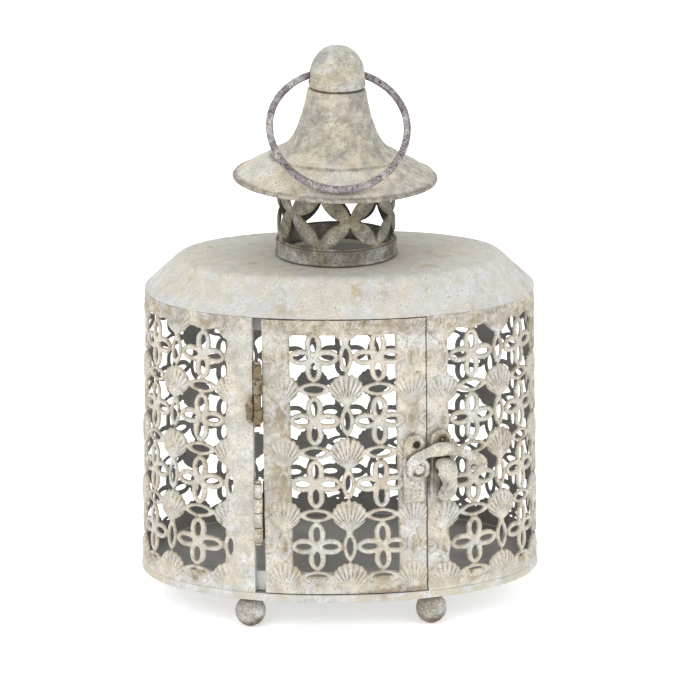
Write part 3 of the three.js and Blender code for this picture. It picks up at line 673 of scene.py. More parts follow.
def shell_parts(x, y):
    """Depth inside the fan shell, its relief and its grooves, from its middle in mm."""
    reach_y = y + 6.5
    radius = np.hypot(x, reach_y)
    angle = np.degrees(np.arctan2(np.abs(x), reach_y))
    lobe = np.abs(np.cos(np.pi * angle / FLUTE))
    edge = np.interp(angle, SHELL_ANGLES, SHELL_REACH)
    fringe = np.clip((70 - angle) / 8, 0, 1)
    depth = 0.86 * (edge + fringe * (0.75 * lobe - 0.5) - radius)
    groove = (1 - lobe) ** 1.5 * np.clip((radius - 1.5) / 4, 0, 1) * fringe
    dome = np.clip(1 - (np.hypot(x, y + 0.5) / 9.0) ** 2, 0, 1)
    return depth, 0.5 * dome - 0.85 * groove, groove


def lattice_field(u, z, column, pitch, first_row):
    """Depth inside the lattice's metal, extra relief, grooves and depth inside the rings' openings, at each
    point of the unrolled wall."""
    dx = np.abs(wrapped(u - column, pitch))
    dz = wrapped(z - first_row, ROW_HEIGHT)
    az = np.abs(dz)
    side, top = dx - pitch / 2, az - ROW_HEIGHT / 2
    shell_z = (z - first_row) / ROW_HEIGHT - 0.5
    shell_z = ROW_HEIGHT * (shell_z - np.round(shell_z))

    petal_a = ellipse_depth(dx - 5.5, dz, 4.75, 3.3)
    petal_b = ellipse_depth(dx, az - 5.5, 3.4, 4.75)
    upright = 0.5 * (lens_depth(side, dz, 2.75, 6.7) + ellipse_depth(side, dz, 2.6, 6.2))
    level = 0.5 * (lens_depth(top, dx, 2.75, 7.3) + ellipse_depth(top, dx, 2.6, 6.8))
    shell, relief, groove = shell_parts(side, shell_z)
    metal = smooth_max(petal_a, petal_b, 0.9)
    metal = smooth_max(metal, 2.3 - np.hypot(dx, dz), 0.9)
    metal = smooth_max(metal, upright, 0.7)
    metal = smooth_max(metal, level, 0.7) + 0.12
    flat = smooth_max(metal, shell + 0.1, 1.2)

    holes = np.maximum(ellipse_depth(dx - 5.45, dz, 3.1, 1.25), ellipse_depth(dx, az - 5.45, 1.25, 3.15))
    upright_hole = 0.5 * (lens_depth(side, dz, 1.25, 4.1) + ellipse_depth(side, dz, 1.2, 3.9))
    level_hole = 0.5 * (lens_depth(top, dx, 1.6, 4.6) + ellipse_depth(top, dx, 1.5, 4.2))
    holes = np.maximum(holes, np.maximum(upright_hole, level_hole))
    on_shell = 1 / (1 + np.exp(-(shell - 0.2) / 0.25))
    return np.minimum(flat, -holes), relief * on_shell, groove * on_shell, holes


def flat_points(u, z):
    """Points of the unrolled sheet, for the noise."""
    return np.stack([u, z, 0 * u], -1)


def pierced_sheet(name, span, heights, step, field, place, materials, thickness=0.4, seed=0, stains=None):
    """A sheet with real openings and a raised pattern.

    field(u, z) gives the depth inside the metal, where 0 is its outline, the height of the front face
    above the sheet's base, and how much of a recess it is; place(u, height, z) puts a point on the object.
    stains(u, z) is 1 where the paint has gone brown.
    """
    nu = int(round((span[1] - span[0]) / step)) + 1
    nz = int(round((heights[1] - heights[0]) / step)) + 1
    u, z = np.meshgrid(np.linspace(*span, nu), np.linspace(*heights, nz), indexing="ij")
    depth = field(u, z)[0]
    inside = depth > -0.55 * step
    ids = np.arange(nu * nz).reshape(nu, nz)
    corners = np.stack([ids[:-1, :-1], ids[1:, :-1], ids[1:, 1:], ids[:-1, 1:]], -1).reshape(-1, 4)
    ok = inside.ravel()[corners]
    quads = corners[ok.all(1)]
    partial = ok.sum(1) == 3
    rolled = np.array([np.roll(c, -int(np.argmin(o)) - 1)[:3] for c, o in zip(corners[partial], ok[partial])],
                      dtype=np.int64).reshape(-1, 3)

    edges = np.concatenate([np.stack([f[:, i], f[:, (i + 1) % f.shape[1]]], -1)
                            for f in (quads, rolled) for i in range(f.shape[1])])
    keys = np.sort(edges, 1)
    keys = keys[:, 0] * (nu * nz) + keys[:, 1]
    _, first, counts = np.unique(keys, return_index=True, return_counts=True)
    border = edges[first[counts == 1]]

    # The outline's vertices slide onto the exact outline, except those on the sheet's own edges.
    flat_u, flat_z = u.ravel().copy(), z.ravel().copy()
    move = np.unique(border)
    at_u = (flat_u[move] - span[0] < 1e-6) | (span[1] - flat_u[move] < 1e-6)
    at_z = (flat_z[move] - heights[0] < 1e-6) | (heights[1] - flat_z[move] < 1e-6)
    pu, pz = flat_u[move].copy(), flat_z[move].copy()
    e = 0.05                              # step of the slope, in mm
    for _ in range(3):
        d = field(pu, pz)[0]
        gu = (field(pu + e, pz)[0] - field(pu - e, pz)[0]) / (2 * e)
        gz = (field(pu, pz + e)[0] - field(pu, pz - e)[0]) / (2 * e)
        norm = np.maximum(gu ** 2 + gz ** 2, 0.2)
        pu = np.where(at_u, pu, pu - np.clip(d * gu / norm, -0.4, 0.4) * (d < 1.2 * step))
        pz = np.where(at_z, pz, pz - np.clip(d * gz / norm, -0.4, 0.4) * (d < 1.2 * step))
    flat_u[move] = flat_u[move] + np.clip(pu - flat_u[move], -0.75 * step, 0.75 * step)
    flat_z[move] = flat_z[move] + np.clip(pz - flat_z[move], -0.75 * step, 0.75 * step)

    used = np.unique(np.concatenate([quads.ravel(), rolled.ravel()]))
    where = np.full(nu * nz, -1)
    where[used] = np.arange(len(used))
    uu, zz = flat_u[used], flat_z[used]
    _, height, cavity = field(uu, zz)[:3]
    waves = 0.22 * rough(flat_points(uu, zz), 30, seed, 2)
    fine = 0.05 * rough(flat_points(uu, zz), 1.8, seed + 3, 2)
    front = place(uu, height + waves + fine, zz)
    back = place(uu, -thickness + 0.25 * height + waves, zz)
    n = len(used)
    q, t, b = where[quads], where[rolled], where[border]
    walls = np.stack([b[:, 1], b[:, 0], b[:, 0] + n, b[:, 1] + n], -1)
    faces = [q, t, walls, q[:, ::-1] + n, t[:, ::-1] + n]
    kinds = [np.zeros(len(q)), np.zeros(len(t)), np.zeros(len(walls)), np.ones(len(q)), np.ones(len(t))]
    kinds = [k if len(materials) > 1 else 0 * k for k in kinds]
    attributes = {"cavity": np.concatenate([cavity, np.zeros(n)])}
    if stains:
        attributes["grime_and_shade"] = np.concatenate([stains(uu, zz), np.zeros(n)])
    return mesh_piece(name, np.concatenate([front, back]), faces, materials, kinds, 50, attributes)


def wall_place(u, height, z):
    """The embossed sheet's front face, at a height above the sheet's base."""
    return wall_point(leaned(u, z), SHEET_INSET - height, z)


def falloff(depth, width):
    """1 at and outside an outline, fading to 0 inwards."""
    return np.exp(-np.maximum(depth, 0) / width)


def emboss(depth, relief):
    return 0.85 * (1 - falloff(depth, 0.5)) + np.where(depth > 0, relief, 0)


def lattice_sheet(name, left, right, heights, pattern, plain_zones, fade_zone, stains, seed, step=STEP):
    """A lattice panel. pattern is (first column, pitch, first row); plain_zones(u, z) is the depth inside the
    parts without through openings; fade_zone(u, z) is 1 where the sheet is smooth and full height."""
    def field(u, z):
        depth, relief, groove, ring_holes = lattice_field(u, z, *pattern)
        at = flat_points(u, z)
        plain = plain_zones(u, z) + 0.12 * rough(at, 3, seed + 9, 2)
        closed = np.clip(plain, 0, 1)
        fade = np.clip(fade_zone(u, z), 0, 1)
        height = emboss(depth, relief * (1 - 0.35 * closed)) * (1 - 0.15 * closed) + 0.08 * closed
        height = height * (1 - 0.88 * fade) + 0.80 * fade + closed * 0.10 * rough(at, 2.6, seed + 4)
        punched = np.maximum(0.7 * np.exp(-np.abs(depth) / 0.4), ring_holes)
        hollow = falloff(depth, 0.3) * (1 - closed) + punched * closed
        cavity = np.clip(np.maximum(hollow, 0.9 * groove) * (1 - 0.9 * fade), 0, 1)
        return np.maximum(depth, plain), height, cavity

    return pierced_sheet(name, (left, right), heights, step, field, wall_place, [SHEET, INNER], seed=seed,
                         stains=stains)


def seam(column):
    return FIRST_COLUMN + (column - 0.5) * COLUMN_PITCH


LOWER_EDGE, UPPER_EDGE = 9.6, 115.9
LEFT_END = PERIMETER + WALL_LEFT_EDGE
WALL_HEIGHTS = (WALL_BOTTOM - 0.22, WALL_TOP + 0.25)
WALL_PATTERN = (FIRST_COLUMN, COLUMN_PITCH, WALL_FIRST_ROW)
DOOR_PATTERN = (DOOR_COLUMN, DOOR_PITCH, DOOR_FIRST_ROW)


def edge_zone(_, z):
    return np.maximum(LOWER_EDGE - z, z - UPPER_EDGE)


def border_fade(_, z):
    return np.maximum((5.6 - z) / 1.6, (z - 121.0) / 1.2)


def right_zone(u, z):
    return np.maximum(edge_zone(u, z), WALL_RIGHT_EDGE + JAMB_RIGHT - u)


def left_zone(u, z):
    """Closed along its edges and over the frame, apart from two rings at the frame's edge."""
    row = np.clip(np.round((z - WALL_FIRST_ROW) / ROW_HEIGHT), 0, 1)
    rings = np.hypot((u - PERIMETER - LAST_COLUMN - COLUMN_PITCH / 2) / 2.6,
                     (z - WALL_FIRST_ROW - ROW_HEIGHT * row) / 6.2) - 1
    return np.minimum(np.maximum(edge_zone(u, z), u - (LEFT_END - JAMB_LEFT)), 2 * rings)


def left_fade(u, z):
    return np.maximum(border_fade(u, z), (u - (LEFT_END - JAMB_LEFT + 0.6)) / 1.6)


def door_zone(u, z):
    left, right, bottom, top = WINDOW
    return np.maximum(np.maximum(left - u, u - right), np.maximum(bottom - z, z - top))


def door_fade(_, z):
    return (6.4 - z) / 1.6


def top_stains(_, z):
    """Brown patches just under the roof and a few along the bottom edge."""
    return 0.3 * np.clip((z - 114) / 3, 0, 1) + 0.06 * np.clip((7 - z) / 4, 0, 1)


def door_stains(u, z):
    """The same, with chipped paint at the door's lower corner, by the latch."""
    ragged = 2.4 * rough(flat_points(u, z), 5, 77, 2)
    corner = np.clip((u + 2) / 6, 0, 1) * np.clip((DOOR_BOTTOM + 1.8 - z + ragged) / 0.8, 0, 1)
    stile = 0.16 * np.clip((WINDOW[0] - u) / 2, 0, 1) * np.clip((z - 20) / 20, 0, 1)
    return np.maximum(np.maximum(1.2 * top_stains(u, z), 0.8 * corner), stile)


for side, left, right, zone, fade, seed in (
    ("right", WALL_RIGHT_EDGE, seam(4), right_zone, border_fade, 11),
    ("back", seam(4), seam(9), edge_zone, border_fade, 12),
    ("left", seam(9), LEFT_END, left_zone, left_fade, 13),
):
    sheet = lattice_sheet("lattice_" + side, left, right, WALL_HEIGHTS, WALL_PATTERN, zone, fade, top_stains,
                          seed)
    settle(sheet, "lantern", "cream_paint", "wall_" + side)
sheet = lattice_sheet("lattice_door", DOOR_LEFT, DOOR_RIGHT, (DOOR_BOTTOM, DOOR_TOP), DOOR_PATTERN, door_zone,
                      door_fade, door_stains, 14, 0.75 * STEP)
settle(sheet, "door", "cream_paint", "door_lattice")


# ---------------------------------------------------------------- frame strips, base and floor

STRIP = (1.65, 2.85)                      # the strips' front and back face, inwards from the wall's face
BAND = (3.5, 4.8)                         # the same for the bands behind them
SILL_TOP = 12
STILES = (DOOR_BOTTOM, DOOR_TOP)
LEFT, RIGHT, BOTTOM, TOP = WINDOW
RAILS = (LEFT + 0.3, RIGHT - 0.3)
RIGHT_END = WALL_RIGHT_EDGE + JAMB_RIGHT
for name, body, node, span, heights, insets, seed in (
    ("jamb_strip_left", "lantern", "jamb_left", (WALL_LEFT_EDGE - STRIP_LEFT, WALL_LEFT_EDGE),
     WALL_HEIGHTS, STRIP, 21),
    ("jamb_strip_right", "lantern", "jamb_right", (WALL_RIGHT_EDGE, RIGHT_END), WALL_HEIGHTS, STRIP, 22),
    ("sill_strip", "lantern", "sill_band", (WALL_LEFT_EDGE - JAMB_LEFT, RIGHT_END), (WALL_BOTTOM, SILL_TOP),
     BAND, 23),
    ("door_stile_strip_left", "door", "door_stile_left", (DOOR_LEFT, LEFT), STILES, STRIP, 24),
    ("door_stile_strip_right", "door", "door_stile_right", (RIGHT, DOOR_RIGHT), STILES, STRIP, 25),
    ("door_rail_strip_bottom", "door", "door_rail_bottom", RAILS, (DOOR_BOTTOM, BOTTOM), STRIP, 26),
    ("door_rail_strip_top", "door", "door_rail_top", RAILS, (TOP, DOOR_TOP), STRIP, 27),
):
    settle(strip_piece(name, span, heights, insets, seed), body, "cream_paint", node)


def on_wall(points):
    """(inset, z) points as a loop_piece profile that follows the wall's curve."""
    return [(inset, 0.0, z) for inset, z in points]


def closed_profile(points, radius, step=5.0):
    """A closed outline with rounded corners, from corner points in mm; the first lies on a straight run."""
    return on_wall(densified(rounded(points + [points[0]], radius, 4), step)[:-1])


band_front, band_back = BAND
HEADER_BOTTOM = 116.2
header = closed_profile([(band_front, 119), (band_front, WALL_TOP), (band_back, WALL_TOP),
                         (band_back, HEADER_BOTTOM), (band_front, HEADER_BOTTOM)], 0.35)
settle(loop_piece("header_strip", header, [INNER], dents=0.1, grain=0.04, seed=31),
       "lantern", "cream_paint", "header_band")

rim_top = WALL_BOTTOM - 0.3
rim = closed_profile([(0.0, 2.0), (0.08, rim_top), (1.4, rim_top), (1.4, 0.05), (0.1, 0.05), (-0.35, 0.5),
                      (-0.35, 1.2)], 0.45, 1.2)
settle(loop_piece("base_rail", rim, [RAIL], dents=0.15, grain=0.08, seed=32),
       "lantern", "cream_paint", "base_rim")

TRAY_BOTTOM, TRAY_TOP, TRAY_INSET, TRAY_BEND = 1.3, 2.8, 1.85, 21.85
tray_line = on_wall([(TRAY_INSET, TRAY_BOTTOM), (1.75, 2.0), (TRAY_INSET, TRAY_TOP)])
tray_line += on_wall([(20 * f + TRAY_INSET, TRAY_TOP) for f in (0.1, 0.3, 0.6, 1.0)])
tray_line += [(TRAY_BEND, f, TRAY_TOP) for f in (0.25, 0.5, 0.75, 1.0)]
tray_line += [(TRAY_BEND, f, TRAY_BOTTOM) for f in (1.0, 0.5)] + [(12.0, 0.0, TRAY_BOTTOM)]
tray = loop_piece("floor_plate", tray_line, [FLOOR_GREY], 0.0, dents=0.12, grain=0.03, seed=33)
settle(merged(tray, 0.05), "lantern", "grey_metal", "floor_tray")


# ---------------------------------------------------------------- roof

BEVEL_IN, PLATE_IN, ROOF_GAUGE, HOLE = 14.8, 21.8, 1.4, 22.5

# Closed section of the roof: top plate, soft crease, skirt, thin rolled rim, and the underside.
under = ROOF_TOP - ROOF_GAUGE
skirt = rounded([(PLATE_IN, ROOF_TOP), (BEVEL_IN, ROOF_TOP, 2.6), (0.45, ROOF_RIM + 0.45, 1.0),
                 (0.1, ROOF_RIM + 0.12, 0.2), (0.3, ROOF_RIM, 0.12), (1.5, ROOF_RIM, 0.3),
                 (2.2, ROOF_RIM + 0.5, 0.6), (BEVEL_IN + 0.6, under, 2.0), (PLATE_IN, under)], 1, 5)
roof_line = [(PLATE_IN, f, ROOF_TOP)
             for f in (1.0, 0.97, 0.9, 0.82, 0.74, 0.66, 0.58, 0.5, 0.42, 0.34, 0.26, 0.18, 0.1)]
roof_line += on_wall(densified(skirt, 1.0)) + [(PLATE_IN, f, under) for f in (0.2, 0.4, 0.6, 0.8, 1.0)]
# Painted shade: the top plate turns part way to the roof paint's darker plate colour from the crease inwards,
# and fully at the collar.
roof_top_shade = [0.35 * float(np.clip((inset - BEVEL_IN + 1.5) / 4.0, 0, 1)) + 0.65 * f
               for inset, f, _ in roof_line]
roof = loop_piece("roof_plate", roof_line, [ROOF, INNER], HOLE, 560, dents=0.32, grain=0.10, seed=41,
                  hole_x=CHIMNEY_X, grime_and_shade=roof_top_shade)
for face in roof.data.polygons:
    face.material_index = int(face.normal.z < -0.3 and face.center.z > (BODY_Z + ROOF_RIM + 1) * MM)
settle(roof, "lantern", "cream_paint", "roof_shell")


# ---------------------------------------------------------------- chimney

CAP_LEAN = Matrix.Rotation(math.radians(0.8), 4, "X") @ Matrix.Rotation(math.radians(1.2), 4, "Y")
CAP_SEAT = shift_mm(CHIMNEY_X, CENTRE_Y, BODY_Z + 186)


def askew(obj):
    """The cap, the dome and the ring sit a little askew."""
    return moved(obj, CAP_SEAT @ CAP_LEAN @ CAP_SEAT.inverted())


def lathe_profile(points, radius=0.5, step=1.2):
    return densified(rounded(points, radius, 4), step)


def round_and_round(radius, z, points, *how):
    """A closed lathe profile from a point on its inner wall."""
    return lathe_profile([(radius, z)] + points + [(radius, z)], *how)[:-1]


bore, low, high = 23.9, COLLAR_BOTTOM, COLLAR_TOP
collar_line = round_and_round(bore, 140, [
    (bore, low), (25.3, low), (25.85, low + 0.5), (25.6, low + 1.2), (25.2, low + 1.4), (25.25, low + 2.4),
    (25.1, high - 0.9), (25.5, high - 0.5), (25.35, high), (bore, high)], 0.4, 0.9)
collar = turned("collar_band", collar_line, CHIMNEY, [OLIVE], 180, 0.16, 0.10, 51, closed=True)
settle(collar, "lantern", "ochre_metal", "chimney_collar")

GALLERY_R, GALLERY_RIM = 24.9, GALLERY_TOP - 0.5
NODE_Z, NODE_STEP, NODE_ANGLE = 155.4, 11.0, math.radians(11.5)


def leaf_depth(*where):
    """Between a pointed and a round oval."""
    return 0.55 * lens_depth(*where) + 0.45 * ellipse_depth(*where)


def gallery_field(u, z):
    """Leaves in a criss-cross between nodes, over a plain bottom band and under a plain top one."""
    half_pitch = math.radians(30) * GALLERY_R
    best = np.full(np.shape(u), -9.0)
    length = math.hypot(half_pitch, NODE_STEP)
    ax, az = half_pitch / length, NODE_STEP / length
    veins = np.zeros(np.shape(u))
    base_u = NODE_ANGLE * GALLERY_R
    for row in range(-1, 2):
        for sign in (-1, 1):
            cu = base_u + half_pitch * (0.5 * sign + row)
            cz = NODE_Z + NODE_STEP * (row + 0.5)
            du = wrapped(u - cu, 2 * half_pitch)
            along = du * ax * sign + (z - cz) * az
            across = -du * az + (z - cz) * ax * sign
            d = leaf_depth(across, along, 3.55, 0.5 * length - 0.25)
            veins = np.where(d > best, -0.12 * np.exp(-(across / 0.5) ** 2), veins)
            best = np.maximum(best, d)
    for row in range(-1, 3):
        du = wrapped(u - base_u - half_pitch * row, 2 * half_pitch)
        best = smooth_max(best, 1.15 - np.hypot(du, z - NODE_Z - NODE_STEP * row), 0.35)
    bands = np.maximum(GALLERY_BOTTOM + 0.7 - z, z - GALLERY_RIM + 2.0)
    depth = smooth_max(best, bands, 0.35)
    height = 0.95 * (1 - falloff(best, 1.1)) + np.where(best > 0, veins, 0)
    height = np.where(bands > best, 0.45, height)
    return depth, height, falloff(depth, 0.4)


def on_lathe(r, a, z):
    """Points at radius r and angle a from the front, about the chimney's axis; in metres."""
    return np.stack([r * np.sin(a) + CHIMNEY_X, -r * np.cos(a) + CENTRE_Y, z + BODY_Z], -1) * MM


def gallery_place(u, height, z):
    """The gallery's sheet, with the leaves at its left front bent aside and up a little."""
    a = u / GALLERY_R
    bent = math.radians(4) * np.exp(-((a - math.radians(308)) / 0.4) ** 2) * np.clip((z - 146) / 6, 0, 1)
    lift = 30 * bent * np.clip((GALLERY_RIM - z) / 8, 0, 1)
    return on_lathe(GALLERY_R - SHEET_INSET + height, a - bent, z + lift)


around = 2 * math.pi * GALLERY_R
leaves = pierced_sheet("gallery_leaves", (0.0, around), (GALLERY_BOTTOM, GALLERY_RIM), around / 380,
                       gallery_field, gallery_place, [OLIVE, GALLERY_INSIDE], 0.35, seed=52)
settle(merged(leaves, 0.01), "lantern", "ochre_metal", "chimney_gallery")


def spline_through(points, count):
    """A smooth curve (Catmull-Rom by chord length) through points of any dimension."""
    p = np.asarray(points, float)
    t = np.concatenate([[0], np.cumsum(np.linalg.norm(np.diff(p, axis=0), axis=1) ** 0.5)])
    m = np.gradient(p, t, axis=0)
    x = np.linspace(0, t[-1], count)
    k = np.clip(np.searchsorted(t, x, side="right") - 1, 0, len(t) - 2)
    h = (t[k + 1] - t[k])
    s = ((x - t[k]) / h)[:, None]
    h = h[:, None]
    return ((2 * s ** 3 - 3 * s ** 2 + 1) * p[k] + (s ** 3 - 2 * s ** 2 + s) * h * m[k]
            + (-2 * s ** 3 + 3 * s ** 2) * p[k + 1] + (s ** 3 - s ** 2) * h * m[k + 1])


bell = spline_through([(12.35, CAP_TOP - 1.9), (12.75, 203.0), (13.4, 200.0), (14.4, 196.3), (15.7, 192.2),
                       (17.3, 188.2), (19.2, 184.8), (21.5, 182.2), (24.2, 180.35), (26.8, 179.1)], 44)
brim = rounded([(26.8, 179.1), (27.3, 178.3), (31, 176.35), (36, 173.7), (41.4, 170.35)], 0.5, 3)
brim = densified(brim, 1.2)[1:]
ROLL_AT, ROLL_Z, ROLL_R = 41.9, 169.35, 0.95
edge_roll = [(ROLL_AT + ROLL_R * math.cos(a), ROLL_Z + ROLL_R * math.sin(a))
             for a in np.radians(np.arange(95, -151, -20))]
inside = spline_through([(40.6, 168.9), (30, 174.9), (24, 178.3), (18, 183.6), (14.4, 190.7), (11.1, 204.5)],
                        30)
top = [(0.0, CAP_TOP), (6.0, CAP_TOP), (10.9, CAP_TOP), (11.7, CAP_TOP - 0.12), (12.1, CAP_TOP - 0.5),
       (12.3, CAP_TOP - 1.1)]
cap_line = np.array(top + list(bell) + list(brim) + edge_roll + list(inside) + [(6, 205.0), (0, 205.0)])
radius, level = cap_line[:, 0], cap_line[:, 1]
CAP_SEGMENTS = 240
turn_angle = np.linspace(0, 2 * math.pi, CAP_SEGMENTS, endpoint=False)[:, None]
# Painted light and shade: the cap turns part way to its darker plate colour all round, less on the brim's
# left front, which is painted lighter where the key lamp falls; the crease between bell and brim carries
# painted shade, and the rolled edge is turned dark all round.
painted_lit_side = np.clip((radius - 20) / 6, 0, 1) * np.clip(0.6 - 1.1 * np.cos(turn_angle - 0.6), 0, 1)
crease_shade_and_edge = np.maximum(0.7 - np.abs(radius - 27.2) / 1.4, (radius - 40.3) / 2.0)
cap_light_and_shade = np.clip(np.maximum(0.4 * (1 - painted_lit_side), crease_shade_and_edge * (level > 167.2)), 0, 0.7)
cap = turned("bell_cap", cap_line, CHIMNEY, [CAP], CAP_SEGMENTS, 0.42, 0.10, 53, grime_and_shade=cap_light_and_shade)
settle(askew(cap), "lantern", "beige_paint", "chimney_cap")


# ---------------------------------------------------------------- dome knob and its ring

PIVOT_Z, RING_HOLE, KNOB_R = 212.2, 3.1, 12.0
knob_outline = spline_through([(10.9, 207.1), (11.7, 207.9), (12.1, 209.6), (12.0, 212), (11.35, 215.2),
                               (9.6, 219.3), (6.8, 222.7), (3.4, 224.5), (0.25, 224.9)], 120)
knob_arc = np.concatenate([[0], np.cumsum(np.linalg.norm(np.diff(knob_outline, axis=0), axis=1))])


def knob_surface(v):
    return np.interp(v, knob_arc, knob_outline[:, 0]), np.interp(v, knob_arc, knob_outline[:, 1])


def knob_field(u, v):
    """The dome's shell, opened at either side where the wire passes."""
    z = knob_surface(v)[1]
    off = np.abs(wrapped(u / KNOB_R, 2 * math.pi))
    depth = np.hypot((off - math.pi / 2) * KNOB_R, z - PIVOT_Z) - RING_HOLE
    lip = -0.25 * falloff(depth, 0.7)
    groove = -0.5 * np.exp(-((z - 210.3) / 0.6) ** 2) - 0.25 * np.exp(-((z - 207.1) / 0.7) ** 2)
    return depth, 0.4 + lip + groove, falloff(depth, 0.5)


def knob_place(u, height, v):
    r, z = knob_surface(v)
    slope_r, slope_z = (np.interp(v, knob_arc, slope) for slope in np.gradient(knob_outline, axis=0).T)
    out = (height - 0.4) / (np.hypot(slope_z, slope_r) + 1e-9)
    return on_lathe(np.maximum(r + slope_z * out, 0), u / KNOB_R, z - slope_r * out)


around = 2 * math.pi * KNOB_R
dome = pierced_sheet("dome", (0.0, around), (0.0, knob_arc[-1]), around / 150, knob_field, knob_place,
                     [BEIGE, INNER], 0.9, seed=54)
settle(askew(merged(dome, 0.01)), "lantern", "beige_paint", "dome_knob")

# The ring: half its width, and its reach above and below its widest line. It hangs in the dome's holes, at
# CHORD to either side of the axis, and leans forwards by TILT.
RING_W, RING_UP, RING_DOWN, WIRE_R = 28.3, 27.2, 30.8, 1.53
CHORD, TILT = 11.7, math.radians(46.3)
drop = RING_UP * math.sqrt(1 - (CHORD / RING_W) ** 2)
a = np.linspace(0, 2 * math.pi, 180, endpoint=False)
reach = np.where(np.sin(a) > 0, RING_UP, RING_DOWN)
flat_ring = np.stack([RING_W * np.cos(a), np.zeros_like(a), reach * np.sin(a) - drop], -1)
turn = np.array([[1, 0, 0], [0, math.cos(TILT), math.sin(TILT)], [0, -math.sin(TILT), math.cos(TILT)]])
ring_path = flat_ring @ turn.T + np.array([CHIMNEY_X, CENTRE_Y, BODY_Z + PIVOT_Z])
wire_radii = WIRE_R * (1 + 0.05 * rough(ring_path, 7, 55))
wire = tube("ring_wire", ring_path, wire_radii, [WIRE], 24, True, 0.09, 56)
settle(askew(wire), "carry_ring", "silver_wire", "carry_ring")


# ---------------------------------------------------------------- feet

FOOT_R, FOOT_Z = 6.4, -7.1
FOOT_LOW = FOOT_Z - FOOT_R
for index, where in enumerate(("front_left", "front_right", "rear_left", "rear_right")):
    low, high = box_mm("foot_" + where)
    middle = np.array([(low[0] + high[0]) / 2, (low[1] + high[1]) / 2, BODY_Z])
    line = [(0.0, FOOT_LOW), (1.0, FOOT_LOW), (1.75, FOOT_LOW + 0.06)]
    line += [(FOOT_R * math.sin(t), FOOT_Z - FOOT_R * math.cos(t))
             for t in np.linspace(0.34, math.pi - 0.50, 34)]
    line += [(2.75, -1.35), (2.7, -0.8), (2.75, 0.0), (2.85, 0.85), (1.4, 0.9), (0.0, 0.9)]
    # The paint turns to the darker brown towards each ball's bottom.
    worn = [float(np.clip((FOOT_Z - 0.8 - z) / 3.4, 0, 0.9)) for _, z in line]
    foot = turned("ball_foot_" + where, line, middle, [BALL], 96, 0.16, 0.14, 60 + index, grime_and_shade=worn)
    settle(foot, "lantern", "grey_metal", "foot_" + where)


# ---------------------------------------------------------------- hinges

HINGE_U, KNUCKLE_R, BORE_R, KNUCKLE_LENGTH, KNUCKLES = -36.2, 1.7, 1.1, 6.4, 4
HINGE_AXIS = np.array([0, -0.9, 0.0])     # the pin stands proud of the wall's face
HINGE_FLANGE = 3.45                       # the flange's face, inside the frame
HINGE_LENGTH = KNUCKLES * KNUCKLE_LENGTH
hinge_place = wall_frame(HINGE_U)


def barrel(name, z0, z1, materials, seed, crust):
    """One knuckle: a short tube, open round the pin, with rolled ends."""
    corners = [(BORE_R, z0), (KNUCKLE_R, z0), (KNUCKLE_R, z1), (BORE_R, z1)]
    line = round_and_round(BORE_R, (z0 + z1) / 2, corners, 0.35, 0.6)
    return turned(name, line, HINGE_AXIS, materials, 40, 0.05 + crust, 0.06 + crust, seed, True)


def leaf(name, side, first, bottom, seed, materials, crust):
    """A hinge leaf: its flange inside the frame, the webs through the gap and every second knuckle."""
    x0, x1 = sorted((side * 0.8, side * 8.5))
    parts = [soft_box(name, (x0, HINGE_FLANGE, 0.2), (x1, HINGE_FLANGE + 0.75, HINGE_LENGTH - 0.2), 0.3,
                      materials, 0.05, seed)]
    w0, w1 = sorted((side * 0.75, side * 1.5))
    for k in range(first, KNUCKLES, 2):
        z0, z1 = k * KNUCKLE_LENGTH + 0.17, (k + 1) * KNUCKLE_LENGTH - 0.17
        parts.append(soft_box(name + "_web", (w0, HINGE_AXIS[1], z0), (w1, HINGE_FLANGE + 0.6, z1), 0.15,
                              materials, 0.02, seed + k))
        parts.append(barrel(name + "_barrel", z0, z1, materials, seed + 10 + k, crust))
    if crust and side < 0:
        parts.append(crust_lump(seed + 30))
    return moved(joined(name, parts), hinge_place @ shift_mm(0, 0, bottom))


def crust_lump(seed):
    """A lobe of rust scale beside the upper hinge's lower knuckles."""
    line = spline_through([(-2.7, -1.9, 12.6, 0.6), (-2.9, -2.0, 9.4, 1.1), (-3.3, -1.9, 6.6, 1.5),
                           (-3.0, -2.0, 4.4, 1.2), (-3.3, -1.6, 2.6, 1.4), (-2.8, -1.3, 0.6, 0.7)], 40)
    return tube("crust", line[:, :3], line[:, 3], [CRUST], 24, grain=0.8, seed=seed)


PIN_R, HEAD_R, HEAD = 0.85, 1.35, (0.2, 1.1)     # the heads run from 0.2 to 1.1 mm past the knuckles
pin_line = lathe_profile(
    [(0, -HEAD[1]), (HEAD_R, -HEAD[1]), (HEAD_R, -HEAD[0]), (PIN_R, -HEAD[0]),
     (PIN_R, HINGE_LENGTH + HEAD[0]), (HEAD_R, HINGE_LENGTH + HEAD[0]), (HEAD_R, HINGE_LENGTH + HEAD[1]),
     (0, HINGE_LENGTH + HEAD[1])], 0.3, 2.0)
for name, bottom, material, crust, seed in (
    ("hinge_lower", 26.2, METAL_CREAM, 0.0, 70), ("hinge_upper", 77.4, CRUST, 0.6, 90),
):
    for kind, body, side, first, add in (("wall", "lantern", -1, 1, 0), ("door", "door", 1, 0, 5)):
        whole = leaf(name + "_leaf_" + kind, side, first, bottom, seed + add, [material], crust)
        settle(whole, body, "rusty_steel", name + "_" + kind + "_leaf")
    pin = turned(name + "_pin_rod", pin_line, HINGE_AXIS, [RUSTY], 28, grain=0.04, seed=seed + 9)
    settle(moved(pin, hinge_place @ shift_mm(0, 0, bottom)), "lantern", "rusty_steel", name + "_pin")


# ---------------------------------------------------------------- latch

